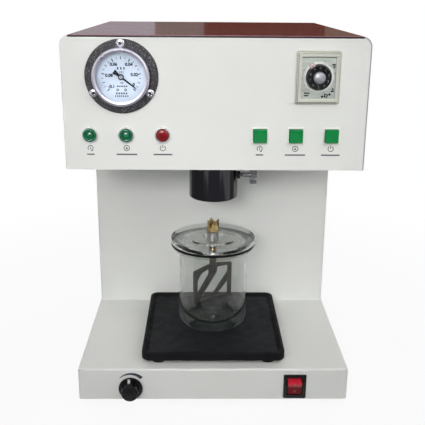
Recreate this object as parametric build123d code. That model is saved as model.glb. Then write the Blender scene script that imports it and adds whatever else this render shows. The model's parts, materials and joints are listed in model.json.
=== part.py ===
from build123d import *
import math
import os

# Bench vacuum mixer for dental impression and investment materials, with a
# vibrating table. All sizes in millimetres. +X is to the right, +Y runs from the
# front to the back and +Z is up. The bench is at Z = 0.

# Body
body_width = 320.0
body_depth = 336.0
base_height = 40.0
column_height = 242.0
head_height = 140.7
column_setback = 195.0          # column's front behind the base's front
foot_height = 8.0
sheet = 1.5                     # white sheet steel
hood_sheet = 1.2                # red sheet steel
hood_corner = 11.0
bend = 2.5                      # outside radius of the bends in the base and column
panel_gap = 0.1                 # around a panel that drops into a neighbour
cutout_corner = 0.8             # corner radius of the panel cut-outs and of what fills them
panel_proud = 0.9               # front panel's face ahead of the hood's front edge
flange = 14.0                   # width of the folded flanges
floor_opening = 110.0           # square hole over the column for wires and hoses
wire_opening_setback = 10.0     # base's wire opening behind the column's flange
wire_opening_depth = 50.0
wire_opening_width = 50.0       # between the pump's mounts

# Clearances
soft_gap = 0.3                  # between pieces on different bodies
running_gap = 0.05              # radial, shaft in its bearing
screw_gap = 0.1                 # radial, screw in its hole

# Screws and feet
screw_radius = 1.9
screw_length = 7.0
screw_head_radius = 3.8
screw_head_height = 2.4
foot_radius = 14.0
foot_taper = 2.0
foot_inset = 30.0
foot_recess_depth = 5.0
foot_recess_radius = 5.0
post_radius = 6.0
hood_screw_inset = 48.0         # end screws from the hood's front and back
post_thread_depth = 16.0

# Drive housing under the head
spindle_back = 109.0            # drive axis behind the base's front
housing_radius = 30.0
housing_wall = 8.0              # round the open socket that takes the lid's boss
housing_drop = 59.3             # below the head
socket_depth = 22.0
housing_flange_width = 12.0
housing_flange_height = 10.0
sleeve_radius = 18.0
sleeve_height = 56.0
sleeve_collar_radius = 25.0
bearing_radius = 13.0
bearing_height = 8.0
bearing_lip = 2.0
spindle_radius = 5.0
spindle_rise = 16.0             # above the sleeve
nose_radius = 4.2
nose_length = 16.0
nose_tip = 12.5                 # nose's end above the housing's mouth
cross_pin_radius = 1.25
cross_pin_length = 14.6
cross_pin_height = 4.0          # above the nose's end
seal_land = 2.0                 # housing's rim outside the seal
seal_width = 5.0
seal_thickness = 3.0
seal_proud = 1.2
port_bore_radius = 1.4          # drilled up the wall, then out through the flange
port_height = 5.5               # above the head's floor

# Motor
motor_radius = 32.0
motor_length = 74.0
motor_boss_radius = 14.0
motor_shaft_radius = 4.0
motor_shaft_depth = 14.0
coupling_wall = 4.0
coupling_height = 18.0
coupling_gap = 2.0              # between the two shaft ends
bracket_plate = 4.0
bracket_leg = 8.0
bracket_inset = 2.0             # bracket's edges inside the housing's flange

# Clamp screw
clamp_height = 26.3             # axis above the housing's mouth
clamp_rod_radius = 2.5
clamp_boss_radius = 5.0
clamp_boss_length = 3.0
clamp_rod_reach = 15.0          # bare rod between the housing and the knob
clamp_knob_radius = 11.5
clamp_knob_width = 8.5
clamp_pad_length = 3.0
knurl_count = 28
knurl_depth = 0.6

# Table
tray_width = 172.0
tray_setback = 12.0             # tray's front behind the base's front
tray_back_gap = 5.0             # between the tray and the column
tray_height = 11.0
tray_lift = 3.6                 # underside above the base
tray_rim = 6.0
tray_recess = 3.4
tray_corner = 10.0
plate_size = 140.0
plate_thickness = 3.0
mount_radius = 9.0
mount_inset = 20.0
mount_front_inset = 12.0
table_travel = 1.0
armature_stem_radius = 6.0
armature_length = 50.0
armature_width = 30.0
armature_thickness = 5.0
armature_drop = 4.5             # armature's top below the base's top
magnet_gap = 1.5
stem_opening = 32.0
core_length = 56.0
core_width = 30.0
coil_wall = 8.0
core_foot = 6.0

# Bowl
bowl_radius = 43.8
bowl_wall = 3.0
bowl_height = 108.0
bowl_corner = 12.0
bowl_floor = 5.0
bowl_inner_corner = 26.0
bowl_flange_width = 7.2
bowl_flange_height = 5.0
gasket_inset = 0.4              # inside the flange's edge
gasket_width = 8.6
gasket_height = 2.2

# Lid
lid_overhang = 2.2              # beyond the bowl's flange
lid_height = 7.0
lid_edge = 1.2
lid_plate = 3.6
lid_rim_width = 6.2
lid_rim_slope = 4.0
lid_seat_margin = 0.5           # seat inside the housing's edge
lid_seat_slope = 2.0
lid_seat_height = 6.8
lid_spigot_gap = 0.5            # inside the bowl's mouth
lid_spigot_depth = 4.0
lid_spigot_wall = 3.2
lid_boss_wall = 3.6
lid_boss_taper = 4.0
lid_boss_height = 13.3
bush_wall = 2.9
bush_drop = 3.0

# Paddle
shaft_radius = 4.5
blade_angle = 36.0              # plate turned about the shaft
blade_side_gap = 10.3           # between the blade and the bowl's wall
blade_thickness = 2.4
blade_bar = 6.0
blade_brace = 5.5
blade_hub_half = 7.0
blade_top = 79.5                # hub's top above the bowl's base
blade_shoulder = 75.0
blade_foot = 27.0
blade_slot_depth = 13.0
crown_wall = 3.4
crown_height = 16.0
crown_floor = 5.0
crown_cavity_gap = 0.8          # round the spindle's nose
crown_slot = 3.3
crown_peak = 4.5

# Vacuum gauge
gauge_inset = 62.5              # centre from the head's left side
gauge_drop = 41.7               # centre below the head's top
gauge_flange_radius = 38.0
gauge_flange_thickness = 3.0
gauge_body_radius = 29.0
gauge_body_depth = 28.0
gauge_bezel_radius = 29.6
gauge_bezel_wall = 1.8          # beside the case's lip
gauge_bezel_lip = 1.6           # over the lens
gauge_bezel_round = 1.5
gauge_case_lip = 1.2
gauge_bezel_proud = 13.0
gauge_lens_thickness = 2.0
gauge_dial_depth = 8.0          # dial's face behind the lens's face
gauge_dial_thickness = 1.0
gauge_screw_inset = 4.2         # from the flange's edge
gauge_screw_radius = 1.6
gauge_screw_head = 4.2
gauge_screw_head_height = 2.0
gauge_screw_length = 10.0
gauge_stem_radius = 5.0
gauge_stem_length = 14.0
pointer_length = 20.0
pointer_tail = 9.0
pointer_width = 1.4
pointer_tail_width = 4.6
pointer_thickness = 0.8
pointer_hub_radius = 2.8
pointer_pin_radius = 0.7
pointer_lift = 1.6              # pointer's back ahead of the dial
pointer_rest = 128.0            # clockwise from straight up, at zero

# Timer
timer_inset = 54.4              # centre from the head's right side
timer_drop = 41.9               # centre below the head's top
timer_frame_width = 48.5
timer_frame_height = 56.5
timer_frame_proud = 5.5
timer_frame_corner = 3.0
timer_face_width = 36.8
timer_face_height = 43.6
timer_face_proud = 4.0
timer_body_depth = 58.0
timer_step = 3.0
timer_dial_rise = 1.0           # above the timer's centre
timer_dial_radius = 14.8
timer_dial_height = 6.0
timer_grip_radius = 13.2
timer_cap_radius = 6.4
timer_cap_height = 4.0
timer_stub_radius = 2.5
timer_stub_length = 4.0
timer_tab_width = 4.4
timer_tab_length = 5.0
timer_tab_rest = -32.5          # clockwise from straight up

# Lamps and push buttons
lamp_inset = 27.2               # first lamp from the head's left side
lamp_pitch = 38.4
button_inset = 36.8             # last button from the head's right side
button_pitch = 38.0
control_rise = 37.7             # lamps and buttons above the head's bottom
lamp_bezel_radius = 8.6
lamp_bezel_proud = 2.2
lamp_lens_radius = 7.2
lamp_lens_proud = 4.5
lamp_body_radius = 6.0
lamp_body_depth = 22.0
button_bezel_size = 17.4
button_bezel_proud = 2.0
button_cap_size = 14.2
button_cap_proud = 5.2
button_body_size = 15.4
button_body_depth = 24.0
button_travel = 3.0
button_cap_corner = 0.8
button_skirt = 2.0              # cap's back behind the panel's face
button_stem_radius = 2.0
button_stem_length = 6.0
button_well_gap = 1.0           # under the pressed cap
button_well_corner = 0.5
bezel_corner = 1.2

# Rocker switch
rocker_inset = 63.0             # centre from the base's right side
rocker_rise = 17.2              # centre above the base's bottom
rocker_case_width = 27.0
rocker_case_height = 31.0
rocker_case_proud = 2.0
rocker_body_width = 21.0
rocker_body_height = 27.0
rocker_body_depth = 24.0
rocker_well_width = 17.8
rocker_well_height = 23.0
rocker_well_depth = 13.0
rocker_width = 16.6
rocker_pivot_depth = 6.0
rocker_half = 8.2
rocker_back_half = 9.4
rocker_crease = 7.5             # front crease ahead of the pivot
rocker_lip = 10.0               # front ends ahead of the pivot
rocker_tail = 4.0
rocker_tail_half = 4.5
rocker_tilt = 12.0
rocker_pin_radius = 1.0
rocker_pin_reach = 0.7          # beyond each side of the rocker
rocker_pin_end_gap = 0.3
rocker_well_corner = 0.6

# Vibration knob
knob_inset = 62.0               # centre from the base's left side
knob_rise = 16.0                # centre above the base's bottom
knob_skirt_radius = 14.2
knob_skirt_thickness = 2.6
knob_grip_radius = 10.6
knob_reach = 16.5
knob_gap = 0.6
knob_lobes = 9
knob_flute_radius = 2.4
knob_bore_depth = 9.0
pot_radius = 11.0
pot_depth = 11.0
pot_bush_radius = 4.0
pot_bush_reach = 1.8
pot_shaft_radius = 3.0
pot_shaft_depth = 6.0

# Pump, hoses and electrics
pump_radius = 38.0
pump_length = 96.0
pump_head_size = 74.0
pump_head_width = 46.0
pump_setback = 250.0
pump_lift = 12.0
pump_belly_gap = 2.0            # barrel above the foot plate
pump_mount_radius = 8.0
pump_foot_width = 22.0
pump_foot_thickness = 4.0
hose_radius = 4.0
nozzle_radius = 2.6
nozzle_length = 12.0
spigot_radius = 4.0
spigot_reach = 16.0
spigot_flange_radius = 9.0
spigot_flange_thickness = 2.0
spigot_rise = 52.0              # above the base's top
inlet_inset = 60.0              # centre from the base's right side
inlet_width = 31.0
inlet_height = 25.0
inlet_body_width = 27.5
inlet_body_height = 20.5
inlet_body_depth = 22.0
inlet_socket_width = 24.0
inlet_socket_height = 16.5
inlet_socket_depth = 15.0
inlet_proud = 2.0
inlet_corner = 1.5
inlet_pin_places = [(-7.0, 1.0), (7.0, 1.0), (0.0, 5.0)]
inlet_pin_half_width = 1.0
inlet_pin_half_height = 2.0
inlet_pin_setback = 3.0         # pins' ends inside the socket's mouth
fuse_pitch = 40.0               # from the inlet's centre
fuse_radius = 6.0
fuse_cap_radius = 7.5
fuse_depth = 26.0
fuse_flange_thickness = 1.5
fuse_flange_width = 1.5
fuse_grip_radius = 6.0
fuse_reach = 8.0
board_bracket_gap = 14.0        # beside the motor bracket
board_side_gap = 11.3           # from the hood's side
board_timer_gap = 12.0          # behind the timer's case
board_depth = 80.0
board_thickness = 1.6
board_lift = 8.0
board_row_gap = 12.0            # between the relays and the transformer
standoff_radius = 3.0
standoff_inset = 5.0
relay_margin = 10.0             # behind the board's front edge
relay_start = 12.0              # from the board's left edge
relay_end = 15.5                # from the board's right edge
relay_count = 3
relay_gap = 6.0
relay_size = 16.0
transformer_width = 48.0
transformer_depth = 36.0
transformer_height = 34.0

# Vents in the rear cover
vent_width = 70.0
vent_height = 4.0
vent_pitch = 9.0
vent_count = 7
vent_rise = 38.5                # lowest slot above the head's floor

# Derived places
front = -(knob_reach + body_depth + spigot_reach) / 2 + knob_reach
rear = front + body_depth
half_width = body_width / 2
base_bottom = foot_height
base_top = base_bottom + base_height
head_bottom = base_top + column_height
head_top = head_bottom + head_height
head_floor = head_bottom + sheet
head_inner_half = half_width - hood_sheet
column_front = front + column_setback
gauge_x = -half_width + gauge_inset
gauge_z = head_top - gauge_drop
gauge_screw_circle = gauge_flange_radius - gauge_screw_inset
gauge_bezel_inner = gauge_bezel_radius - gauge_bezel_wall - gauge_case_lip
timer_x = half_width - timer_inset
timer_z = head_top - timer_drop
timer_dial_z = timer_z + timer_dial_rise
lamp_xs = [-half_width + lamp_inset + index * lamp_pitch for index in range(3)]
button_xs = [half_width - button_inset - index * button_pitch for index in (2, 1, 0)]
control_z = head_bottom + control_rise
rocker_x = half_width - rocker_inset
rocker_z = base_bottom + rocker_rise
knob_x = -half_width + knob_inset
knob_z = base_bottom + knob_rise
inlet_x = half_width - inlet_inset
inlet_z = base_bottom + base_height / 2
fuse_x = inlet_x - fuse_pitch
spigot_z = base_top + spigot_rise
column_half = head_inner_half - panel_gap
drive_y = front + spindle_back
housing_mouth = head_bottom - housing_drop
housing_flange_radius = housing_radius + housing_flange_width
bracket_half_width = housing_flange_radius - bracket_inset
socket_radius = housing_radius - housing_wall
seal_outer = housing_radius - seal_land
seal_inner = seal_outer - seal_width
sleeve_bottom = housing_mouth + socket_depth
sleeve_top = sleeve_bottom + sleeve_height
nose_bottom = housing_mouth + nose_tip
spindle_top = sleeve_top + spindle_rise
motor_shaft_bottom = spindle_top + coupling_gap
coupling_bottom = spindle_top + coupling_gap / 2 - coupling_height / 2
motor_seat = coupling_bottom + coupling_height + coupling_gap + bracket_plate
bracket_underside = motor_seat - bracket_plate
clamp_z = housing_mouth + clamp_height
tray_bottom = base_top + tray_lift
tray_top = tray_bottom + tray_height
tray_floor = tray_top - tray_recess
tray_depth = column_setback - tray_setback - tray_back_gap
tray_y0 = front + tray_setback
tray_y = tray_y0 + tray_depth / 2
bowl_bottom = tray_floor + soft_gap
bowl_top = bowl_bottom + bowl_height
bowl_inner_radius = bowl_radius - bowl_wall
bowl_flange_radius = bowl_radius + bowl_flange_width
lid_bottom = bowl_top + gasket_height
lid_seat = lid_bottom + lid_seat_height
boss_top = lid_bottom + lid_boss_height
bush_radius = shaft_radius + bush_wall
crown_radius = shaft_radius + crown_wall
crown_cavity_radius = nose_radius + crown_cavity_gap
coupling_radius = spindle_radius + coupling_wall
crown_bottom = boss_top + soft_gap
shaft_top = crown_bottom + crown_floor
dock_travel = housing_mouth - seal_proud - lid_seat - soft_gap
pump_y = front + pump_setback
control_panel_back = front + sheet


def block(x0, x1, y0, y1, z0, z1):
    """Axis-aligned block between two corners."""
    middle = Pos((x0 + x1) / 2, (y0 + y1) / 2, (z0 + z1) / 2)
    return middle * Box(x1 - x0, y1 - y0, z1 - z0)


def rod_z(x, y, z0, z1, radius):
    """Upright round bar."""
    return Pos(x, y, (z0 + z1) / 2) * Cylinder(radius, z1 - z0)


def rod_y(x, z, y0, y1, radius):
    """Round bar that runs from front to back."""
    return Pos(x, (y0 + y1) / 2, z) * Rot(90, 0, 0) * Cylinder(radius, y1 - y0)


def rod_x(y, z, x0, x1, radius):
    """Round bar that runs from left to right."""
    return Pos((x0 + x1) / 2, y, z) * Rot(0, 90, 0) * Cylinder(radius, x1 - x0)


def turned(points):
    """Solid of revolution about Z from (radius, height) points."""
    outline = make_face(Polyline(*points, close=True))
    return revolve(Plane.XZ * outline, Axis.Z)


def facing_front(shape, x, y, z):
    """Place a shape whose +Z points out of the front panel at (x, y, z)."""
    return Pos(x, y, z) * Rot(90, 0, 0) * shape


def plaque(x, z, width, height, y_back, y_front, corner):
    """Rounded rectangular plate that faces the front."""
    outline = RectangleRounded(width, height, corner)
    plate = extrude(outline, amount=y_back - y_front)
    return facing_front(plate, x, y_back, z)


def group(solids):
    """Several separate solids in one node."""
    return Compound(children=list(solids))


def foot_places():
    """Centres of the four feet, as (x, y)."""
    half_x = half_width - foot_inset
    return [(x, y) for x in (-half_x, half_x) for y in (front + foot_inset, rear - foot_inset)]


def rear_screw_places():
    """Rear cover's screws, as (x, z)."""
    edge = column_half - sheet - flange / 2
    rows = [base_top + flange, (base_top + head_bottom) / 2, head_bottom - flange]
    places = [(x, z) for x in (-edge, edge) for z in rows]
    head_row = head_floor + flange / 2
    places += [(x, head_row) for x in (-edge / 2, edge / 2)]
    return places


def hood_screw_places():
    """Hood's side screws, as (y, z)."""
    height = head_floor + flange / 2
    middle = front + body_depth / 2
    step = body_depth / 2 - hood_screw_inset
    return [(middle + turn * step, height) for turn in (-1, 0, 1)]


def gauge_screw_places():
    """Gauge flange's screws, as (x, z)."""
    places = []
    for turn in (0, 120, 240):
        angle = math.radians(90 + turn)
        x = gauge_x + gauge_screw_circle * math.cos(angle)
        z = gauge_z + gauge_screw_circle * math.sin(angle)
        places.append((x, z))
    return places


def mount_places():
    """Rubber buffers under the tray, as (x, y)."""
    half_x = tray_width / 2 - mount_inset
    ys = (tray_y0 + mount_front_inset, tray_y0 + tray_depth - mount_inset)
    return [(x, y) for x in (-half_x, half_x) for y in ys]


def pump_mount_places():
    """Rubber buffers under the pump, as (x, y)."""
    half_x = pump_length / 2 - pump_mount_radius
    half_y = pump_radius - pump_mount_radius
    return [(x, pump_y + y) for x in (-half_x, half_x) for y in (-half_y, half_y)]


def screw(length):
    """Pan head screw along Z: head above zero, shank below."""
    head = turned([
        (0, 0),
        (screw_head_radius, 0),
        (screw_head_radius, screw_head_height * 0.45),
        (screw_head_radius * 0.72, screw_head_height),
        (0, screw_head_height),
    ])
    return head + rod_z(0, 0, -length, 0, screw_radius)


def base_pan():
    """Folded base, open below, with its threaded posts welded in."""
    outer = block(-half_width, half_width, front, rear, base_bottom, base_top)
    upright = outer.edges().filter_by(Axis.Z)
    rim = outer.faces().sort_by(Axis.Z)[-1].edges()
    outer = fillet(upright + rim, bend)
    inner_half = half_width - sheet
    inside = block(
        -inner_half, inner_half, front + sheet, rear - sheet, base_bottom - 1, base_top - sheet
    )
    pan = outer - inside
    for x, y in foot_places():
        post = rod_z(x, y, base_bottom + sheet, base_top - sheet, post_radius)
        bore = rod_z(
            x, y, base_bottom, base_bottom + sheet + post_thread_depth, screw_radius + screw_gap
        )
        pan = pan + (post - bore)
    pan -= rod_z(0, drive_y, base_top - 2 * sheet, base_top + 1, stem_opening)
    half_opening = wire_opening_width / 2
    opening_front = column_front + flange + wire_opening_setback
    pan -= block(
        -half_opening, half_opening, opening_front, opening_front + wire_opening_depth,
        base_top - 2 * sheet, base_top + 1
    )
    pan -= rod_y(knob_x, knob_z, front - 1, front + 2 * sheet, pot_bush_radius + screw_gap)
    pan -= plaque(
        rocker_x, rocker_z, rocker_body_width + 2 * panel_gap, rocker_body_height + 2 * panel_gap,
        front + 2 * sheet, front - 1, cutout_corner
    )
    pan -= plaque(
        inlet_x, inlet_z, inlet_body_width + 2 * panel_gap,
        inlet_body_height + 2 * panel_gap, rear + 1, rear - 2 * sheet, cutout_corner
    )
    pan -= rod_y(
        fuse_x, inlet_z, rear - 2 * sheet, rear + 1, fuse_radius + panel_gap
    )
    return pan


def base_bottom_plate():
    """Flat plate that closes the base."""
    half = half_width - sheet - 2 * panel_gap
    y0 = front + sheet + 2 * panel_gap
    y1 = rear - sheet - 2 * panel_gap
    plate = block(-half, half, y0, y1, base_bottom, base_bottom + sheet)
    for x, y in foot_places():
        plate -= rod_z(x, y, base_bottom - 1, base_bottom + 2 * sheet, screw_radius + screw_gap)
    return plate


def rubber_feet():
    """Four tapered rubber feet, each recessed for its screw."""
    foot = turned([
        (0, 0),
        (foot_radius - foot_taper, 0),
        (foot_radius, foot_height),
        (0, foot_height),
    ])
    foot -= rod_z(0, 0, -1, foot_recess_depth, foot_recess_radius)
    foot -= rod_z(0, 0, 0, foot_height + 1, screw_radius + screw_gap)
    return group(Pos(x, y, 0) * foot for x, y in foot_places())


def body_screws():
    """All the body's pan head screws: feet, rear cover and hood."""
    screws = []
    foot_screw = Rot(180, 0, 0) * screw(screw_length + post_thread_depth / 2)
    for x, y in foot_places():
        screws.append(Pos(x, y, foot_recess_depth) * foot_screw)
    rear_screw = Rot(-90, 0, 0) * screw(screw_length)
    for x, z in rear_screw_places():
        screws.append(Pos(x, rear, z) * rear_screw)
    for y, z in hood_screw_places():
        screws.append(Pos(half_width, y, z) * Rot(0, 90, 0) * screw(screw_length))
        screws.append(Pos(-half_width, y, z) * Rot(0, -90, 0) * screw(screw_length))
    return group(screws)


def column_shell():
    """Folded column: front, two sides and inward flanges on four edges."""
    y_back = rear - sheet
    outer = block(-column_half, column_half, column_front, y_back, base_top, head_bottom)
    corners = outer.edges().filter_by(Axis.Z).group_by(Axis.Y)[0]
    outer = fillet(corners, bend)
    inner_half = column_half - sheet
    shell = outer - block(
        -inner_half, inner_half, column_front + sheet, y_back + 1,
        base_top + sheet, head_bottom - sheet
    )
    throat_half = inner_half - flange
    shell -= block(
        -throat_half, throat_half, column_front + sheet + flange, y_back + 1,
        base_top - 1, head_bottom + 1
    )
    for side in (-1, 1):
        edges = sorted((side * throat_half, side * inner_half))
        shell += block(edges[0], edges[1], y_back - sheet, y_back, base_top, head_bottom)
    for x, z in rear_screw_places():
        shell -= rod_y(x, z, y_back - 2 * sheet, y_back + 1, screw_radius + screw_gap)
    return shell


def head_floor_plate():
    """Tray-shaped floor of the head with four upturned flanges."""
    half = column_half
    y0 = front + sheet
    y1 = rear - sheet
    plate = block(-half, half, y0, y1, head_bottom, head_floor + flange)
    plate -= block(
        -half + sheet, half - sheet, y0 + sheet, y1 - sheet, head_floor, head_floor + flange + 1
    )
    plate -= rod_z(0, drive_y, head_bottom - 1, head_floor + 1, housing_radius + panel_gap)
    half_opening = floor_opening / 2
    middle = (column_front + rear) / 2
    plate -= block(
        -half_opening, half_opening, middle - half_opening, middle + half_opening,
        head_bottom - 1, head_floor + 1
    )
    hole = screw_radius + screw_gap
    for x, z in rear_screw_places():
        if z > head_bottom:
            plate -= rod_y(x, z, y1 - 2 * sheet, y1 + 1, hole)
    for y, z in hood_screw_places():
        plate -= rod_x(y, z, -half - 1, -half + 2 * sheet, hole)
        plate -= rod_x(y, z, half - 2 * sheet, half + 1, hole)
    return plate


def head_outline(half, bottom, top, corner):
    """Face with square bottom corners and rounded top corners, in the XZ plane."""
    lines = Line((-half, bottom), (half, bottom))
    lines += Line((half, bottom), (half, top - corner))
    lines += RadiusArc((half, top - corner), (half - corner, top), -corner)
    lines += Line((half - corner, top), (-half + corner, top))
    lines += RadiusArc((-half + corner, top), (-half, top - corner), -corner)
    lines += Line((-half, top - corner), (-half, bottom))
    return make_face(lines)


def upright_plate(outline, y_back, y_front):
    """Extrude an XZ outline from y_back towards the front."""
    plane = Plane(origin=(0, y_back, 0), x_dir=(1, 0, 0), z_dir=(0, -1, 0))
    return extrude(plane * outline, amount=y_back - y_front)


def head_hood():
    """Bent red hood: two sides and the top."""
    outer = head_outline(half_width, head_bottom, head_top, hood_corner)
    inner = head_outline(
        head_inner_half, head_bottom - 1, head_top - hood_sheet, hood_corner - hood_sheet
    )
    hood = upright_plate(outer, rear, front + panel_proud)
    hood -= upright_plate(inner, rear + 1, front - 1)
    for y, z in hood_screw_places():
        hood -= rod_x(y, z, -half_width - 1, half_width + 1, screw_radius + screw_gap)
    return hood


def head_front_panel():
    """White control panel with its cut-outs."""
    corner = hood_corner - hood_sheet - panel_gap
    outline = head_outline(column_half, head_bottom, head_top - hood_sheet - panel_gap, corner)
    panel = upright_plate(outline, control_panel_back, front)
    y0 = front - 1
    y1 = control_panel_back + 1
    panel -= rod_y(gauge_x, gauge_z, y0, y1, gauge_body_radius + panel_gap)
    for x, z in gauge_screw_places():
        panel -= rod_y(x, z, y0, y1, gauge_screw_radius + screw_gap)
    panel -= plaque(
        timer_x, timer_z, timer_face_width + 2 * panel_gap, timer_face_height + 2 * panel_gap,
        y1, y0, cutout_corner
    )
    for x in lamp_xs:
        panel -= rod_y(x, control_z, y0, y1, lamp_body_radius + panel_gap)
    for x in button_xs:
        size = button_body_size + 2 * panel_gap
        panel -= plaque(x, control_z, size, size, y1, y0, cutout_corner)
    return panel


def rear_cover():
    """Flat rear cover with ventilation slots."""
    corner = hood_corner - hood_sheet - panel_gap
    outline = head_outline(
        column_half, base_top + panel_gap, head_top - hood_sheet - panel_gap, corner
    )
    cover = upright_plate(outline, rear, rear - sheet)
    for index in range(vent_count):
        z = head_floor + vent_rise + index * vent_pitch
        for x in (-vent_width, vent_width):
            cover -= plaque(
                x, z, vent_width, vent_height, rear + 1, rear - 2 * sheet, vent_height / 2 - 0.1
            )
    for x, z in rear_screw_places():
        cover -= rod_y(x, z, rear - 2 * sheet, rear + 1, screw_radius + screw_gap)
    cover -= rod_y(0, spigot_z, rear - 2 * sheet, rear + 1, spigot_radius + panel_gap)
    return cover


def gauge_case():
    """Black gauge case: flange on the panel, body and stem behind it."""
    proud = gauge_bezel_proud - 2 * gauge_lens_thickness
    case = turned([
        (0, -gauge_body_depth),
        (gauge_body_radius, -gauge_body_depth),
        (gauge_body_radius, 0),
        (gauge_flange_radius, 0),
        (gauge_flange_radius, gauge_flange_thickness * 0.5),
        (gauge_flange_radius - 1.5, gauge_flange_thickness),
        (gauge_bezel_inner + gauge_case_lip, gauge_flange_thickness),
        (gauge_bezel_inner + gauge_case_lip, proud),
        (gauge_bezel_inner, proud),
        (gauge_bezel_inner, dial_back()),
        (0, dial_back()),
    ])
    stem_bottom = -gauge_body_depth - gauge_stem_length
    case += rod_z(0, 0, stem_bottom, -gauge_body_depth, gauge_stem_radius)
    case += rod_z(0, 0, stem_bottom - nozzle_length, stem_bottom, nozzle_radius)
    for turn in (0, 120, 240):
        angle = math.radians(90 + turn)
        x = gauge_screw_circle * math.cos(angle)
        y = gauge_screw_circle * math.sin(angle)
        case -= rod_z(x, y, -1, gauge_flange_thickness + 1, gauge_screw_radius + screw_gap)
    case -= rod_z(0, 0, dial_back() - 6, dial_back() + 1, pointer_pin_radius + running_gap)
    return facing_front(case, gauge_x, front, gauge_z)


def lens_face():
    """Height of the gauge lens's outer face above the panel."""
    return gauge_bezel_proud - gauge_lens_thickness / 2


def dial_back():
    """Height of the gauge dial's back above the panel."""
    return lens_face() - gauge_dial_depth - gauge_dial_thickness


def gauge_bezel():
    """Chrome ring that holds the gauge lens."""
    ring = turned([
        (gauge_bezel_inner + gauge_case_lip, gauge_flange_thickness),
        (gauge_bezel_radius, gauge_flange_thickness),
        (gauge_bezel_radius, gauge_bezel_proud - gauge_bezel_round),
        (gauge_bezel_radius - gauge_bezel_round, gauge_bezel_proud),
        (gauge_bezel_inner - gauge_bezel_lip, gauge_bezel_proud),
        (gauge_bezel_inner - gauge_bezel_lip, lens_face()),
        (gauge_bezel_inner + gauge_case_lip, lens_face()),
    ])
    return facing_front(ring, gauge_x, front, gauge_z)


def gauge_dial():
    """White dial plate."""
    disc = rod_z(0, 0, dial_back(), dial_back() + gauge_dial_thickness, gauge_bezel_inner - panel_gap)
    disc -= rod_z(0, 0, dial_back() - 1, dial_back() + 2, pointer_pin_radius + 0.5)
    return facing_front(disc, gauge_x, front, gauge_z)


def gauge_lens():
    """Clear lens on the case's lip, under the bezel."""
    back = lens_face() - gauge_lens_thickness
    disc = rod_z(0, 0, back, lens_face(), gauge_bezel_inner + gauge_case_lip - panel_gap)
    return facing_front(disc, gauge_x, front, gauge_z)


def gauge_screws():
    """Three chrome pan head screws in the gauge's flange."""
    head = turned([
        (0, 0),
        (gauge_screw_head, 0),
        (gauge_screw_head, gauge_screw_head_height * 0.4),
        (gauge_screw_head * 0.7, gauge_screw_head_height),
        (0, gauge_screw_head_height),
    ])
    one = head + rod_z(0, 0, -gauge_screw_length, 0, gauge_screw_radius)
    y = front - gauge_flange_thickness
    return group(facing_front(one, x, y, z) for x, z in gauge_screw_places())


def gauge_pointer():
    """Pointer with a broad tail, a hub and its spindle, turned to zero."""
    back = dial_back() + gauge_dial_thickness + pointer_lift
    half = pointer_width / 2
    half_tail = pointer_tail_width / 2
    outline = make_face(Polyline(
        (0, pointer_length),
        (half, 0),
        (half_tail, -pointer_tail),
        (-half_tail, -pointer_tail),
        (-half, 0),
        close=True,
    ))
    blade = Pos(0, 0, back) * extrude(outline, amount=pointer_thickness)
    hub = rod_z(0, 0, back - 0.4, back + 2 * pointer_thickness, pointer_hub_radius)
    pin = rod_z(0, 0, dial_back() - 5, back, pointer_pin_radius)
    needle = Rot(0, 0, -pointer_rest) * (blade + hub + pin)
    return facing_front(needle, gauge_x, front, gauge_z)


def timer_frame():
    """Two-step panel frame round the timer."""
    lower = plaque(
        timer_x, timer_z, timer_frame_width, timer_frame_height,
        front, front - timer_frame_proud * 0.55, timer_frame_corner
    )
    upper = plaque(
        timer_x, timer_z, timer_frame_width - timer_step, timer_frame_height - timer_step,
        front - timer_frame_proud * 0.55, front - timer_frame_proud, timer_frame_corner * 0.7
    )
    window = plaque(
        timer_x, timer_z, timer_face_width + 2 * panel_gap, timer_face_height + 2 * panel_gap,
        front + 1, front - timer_frame_proud - 1, cutout_corner
    )
    return lower + upper - window


def timer_body():
    """Timer module: face plate ahead of its case."""
    body = plaque(
        timer_x, timer_z, timer_face_width, timer_face_height,
        front + timer_body_depth, front - timer_face_proud, cutout_corner
    )
    body -= rod_y(
        timer_x, timer_dial_z, front - timer_face_proud - 1,
        front - timer_face_proud + timer_stub_length + 1, timer_stub_radius + running_gap
    )
    return body


def timer_dial():
    """Turning dial with its stub shaft and pointer tab."""
    base = soft_gap
    dial = turned([
        (0, base),
        (timer_dial_radius, base),
        (timer_dial_radius, base + 1.6),
        (timer_grip_radius, base + 2.0),
        (timer_grip_radius - 1.0, timer_dial_height),
        (0, timer_dial_height),
    ])
    stub = rod_z(0, 0, -timer_stub_length, base, timer_stub_radius)
    tab_start = timer_grip_radius - 2.5
    tab = block(
        -timer_tab_width / 2, timer_tab_width / 2, tab_start, tab_start + timer_tab_length,
        base, timer_dial_height - 1.0
    )
    dial = Rot(0, 0, -timer_tab_rest) * (dial + stub + tab)
    return facing_front(dial, timer_x, front - timer_face_proud, timer_dial_z)


def timer_dial_cap():
    """Domed cap on the dial."""
    cap = turned([
        (0, timer_dial_height),
        (timer_cap_radius, timer_dial_height),
        (timer_cap_radius, timer_dial_height + timer_cap_height * 0.5),
        (timer_cap_radius * 0.75, timer_dial_height + timer_cap_height * 0.88),
        (timer_cap_radius * 0.35, timer_dial_height + timer_cap_height),
        (0, timer_dial_height + timer_cap_height),
    ])
    return facing_front(cap, timer_x, front - timer_face_proud, timer_dial_z)


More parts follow.
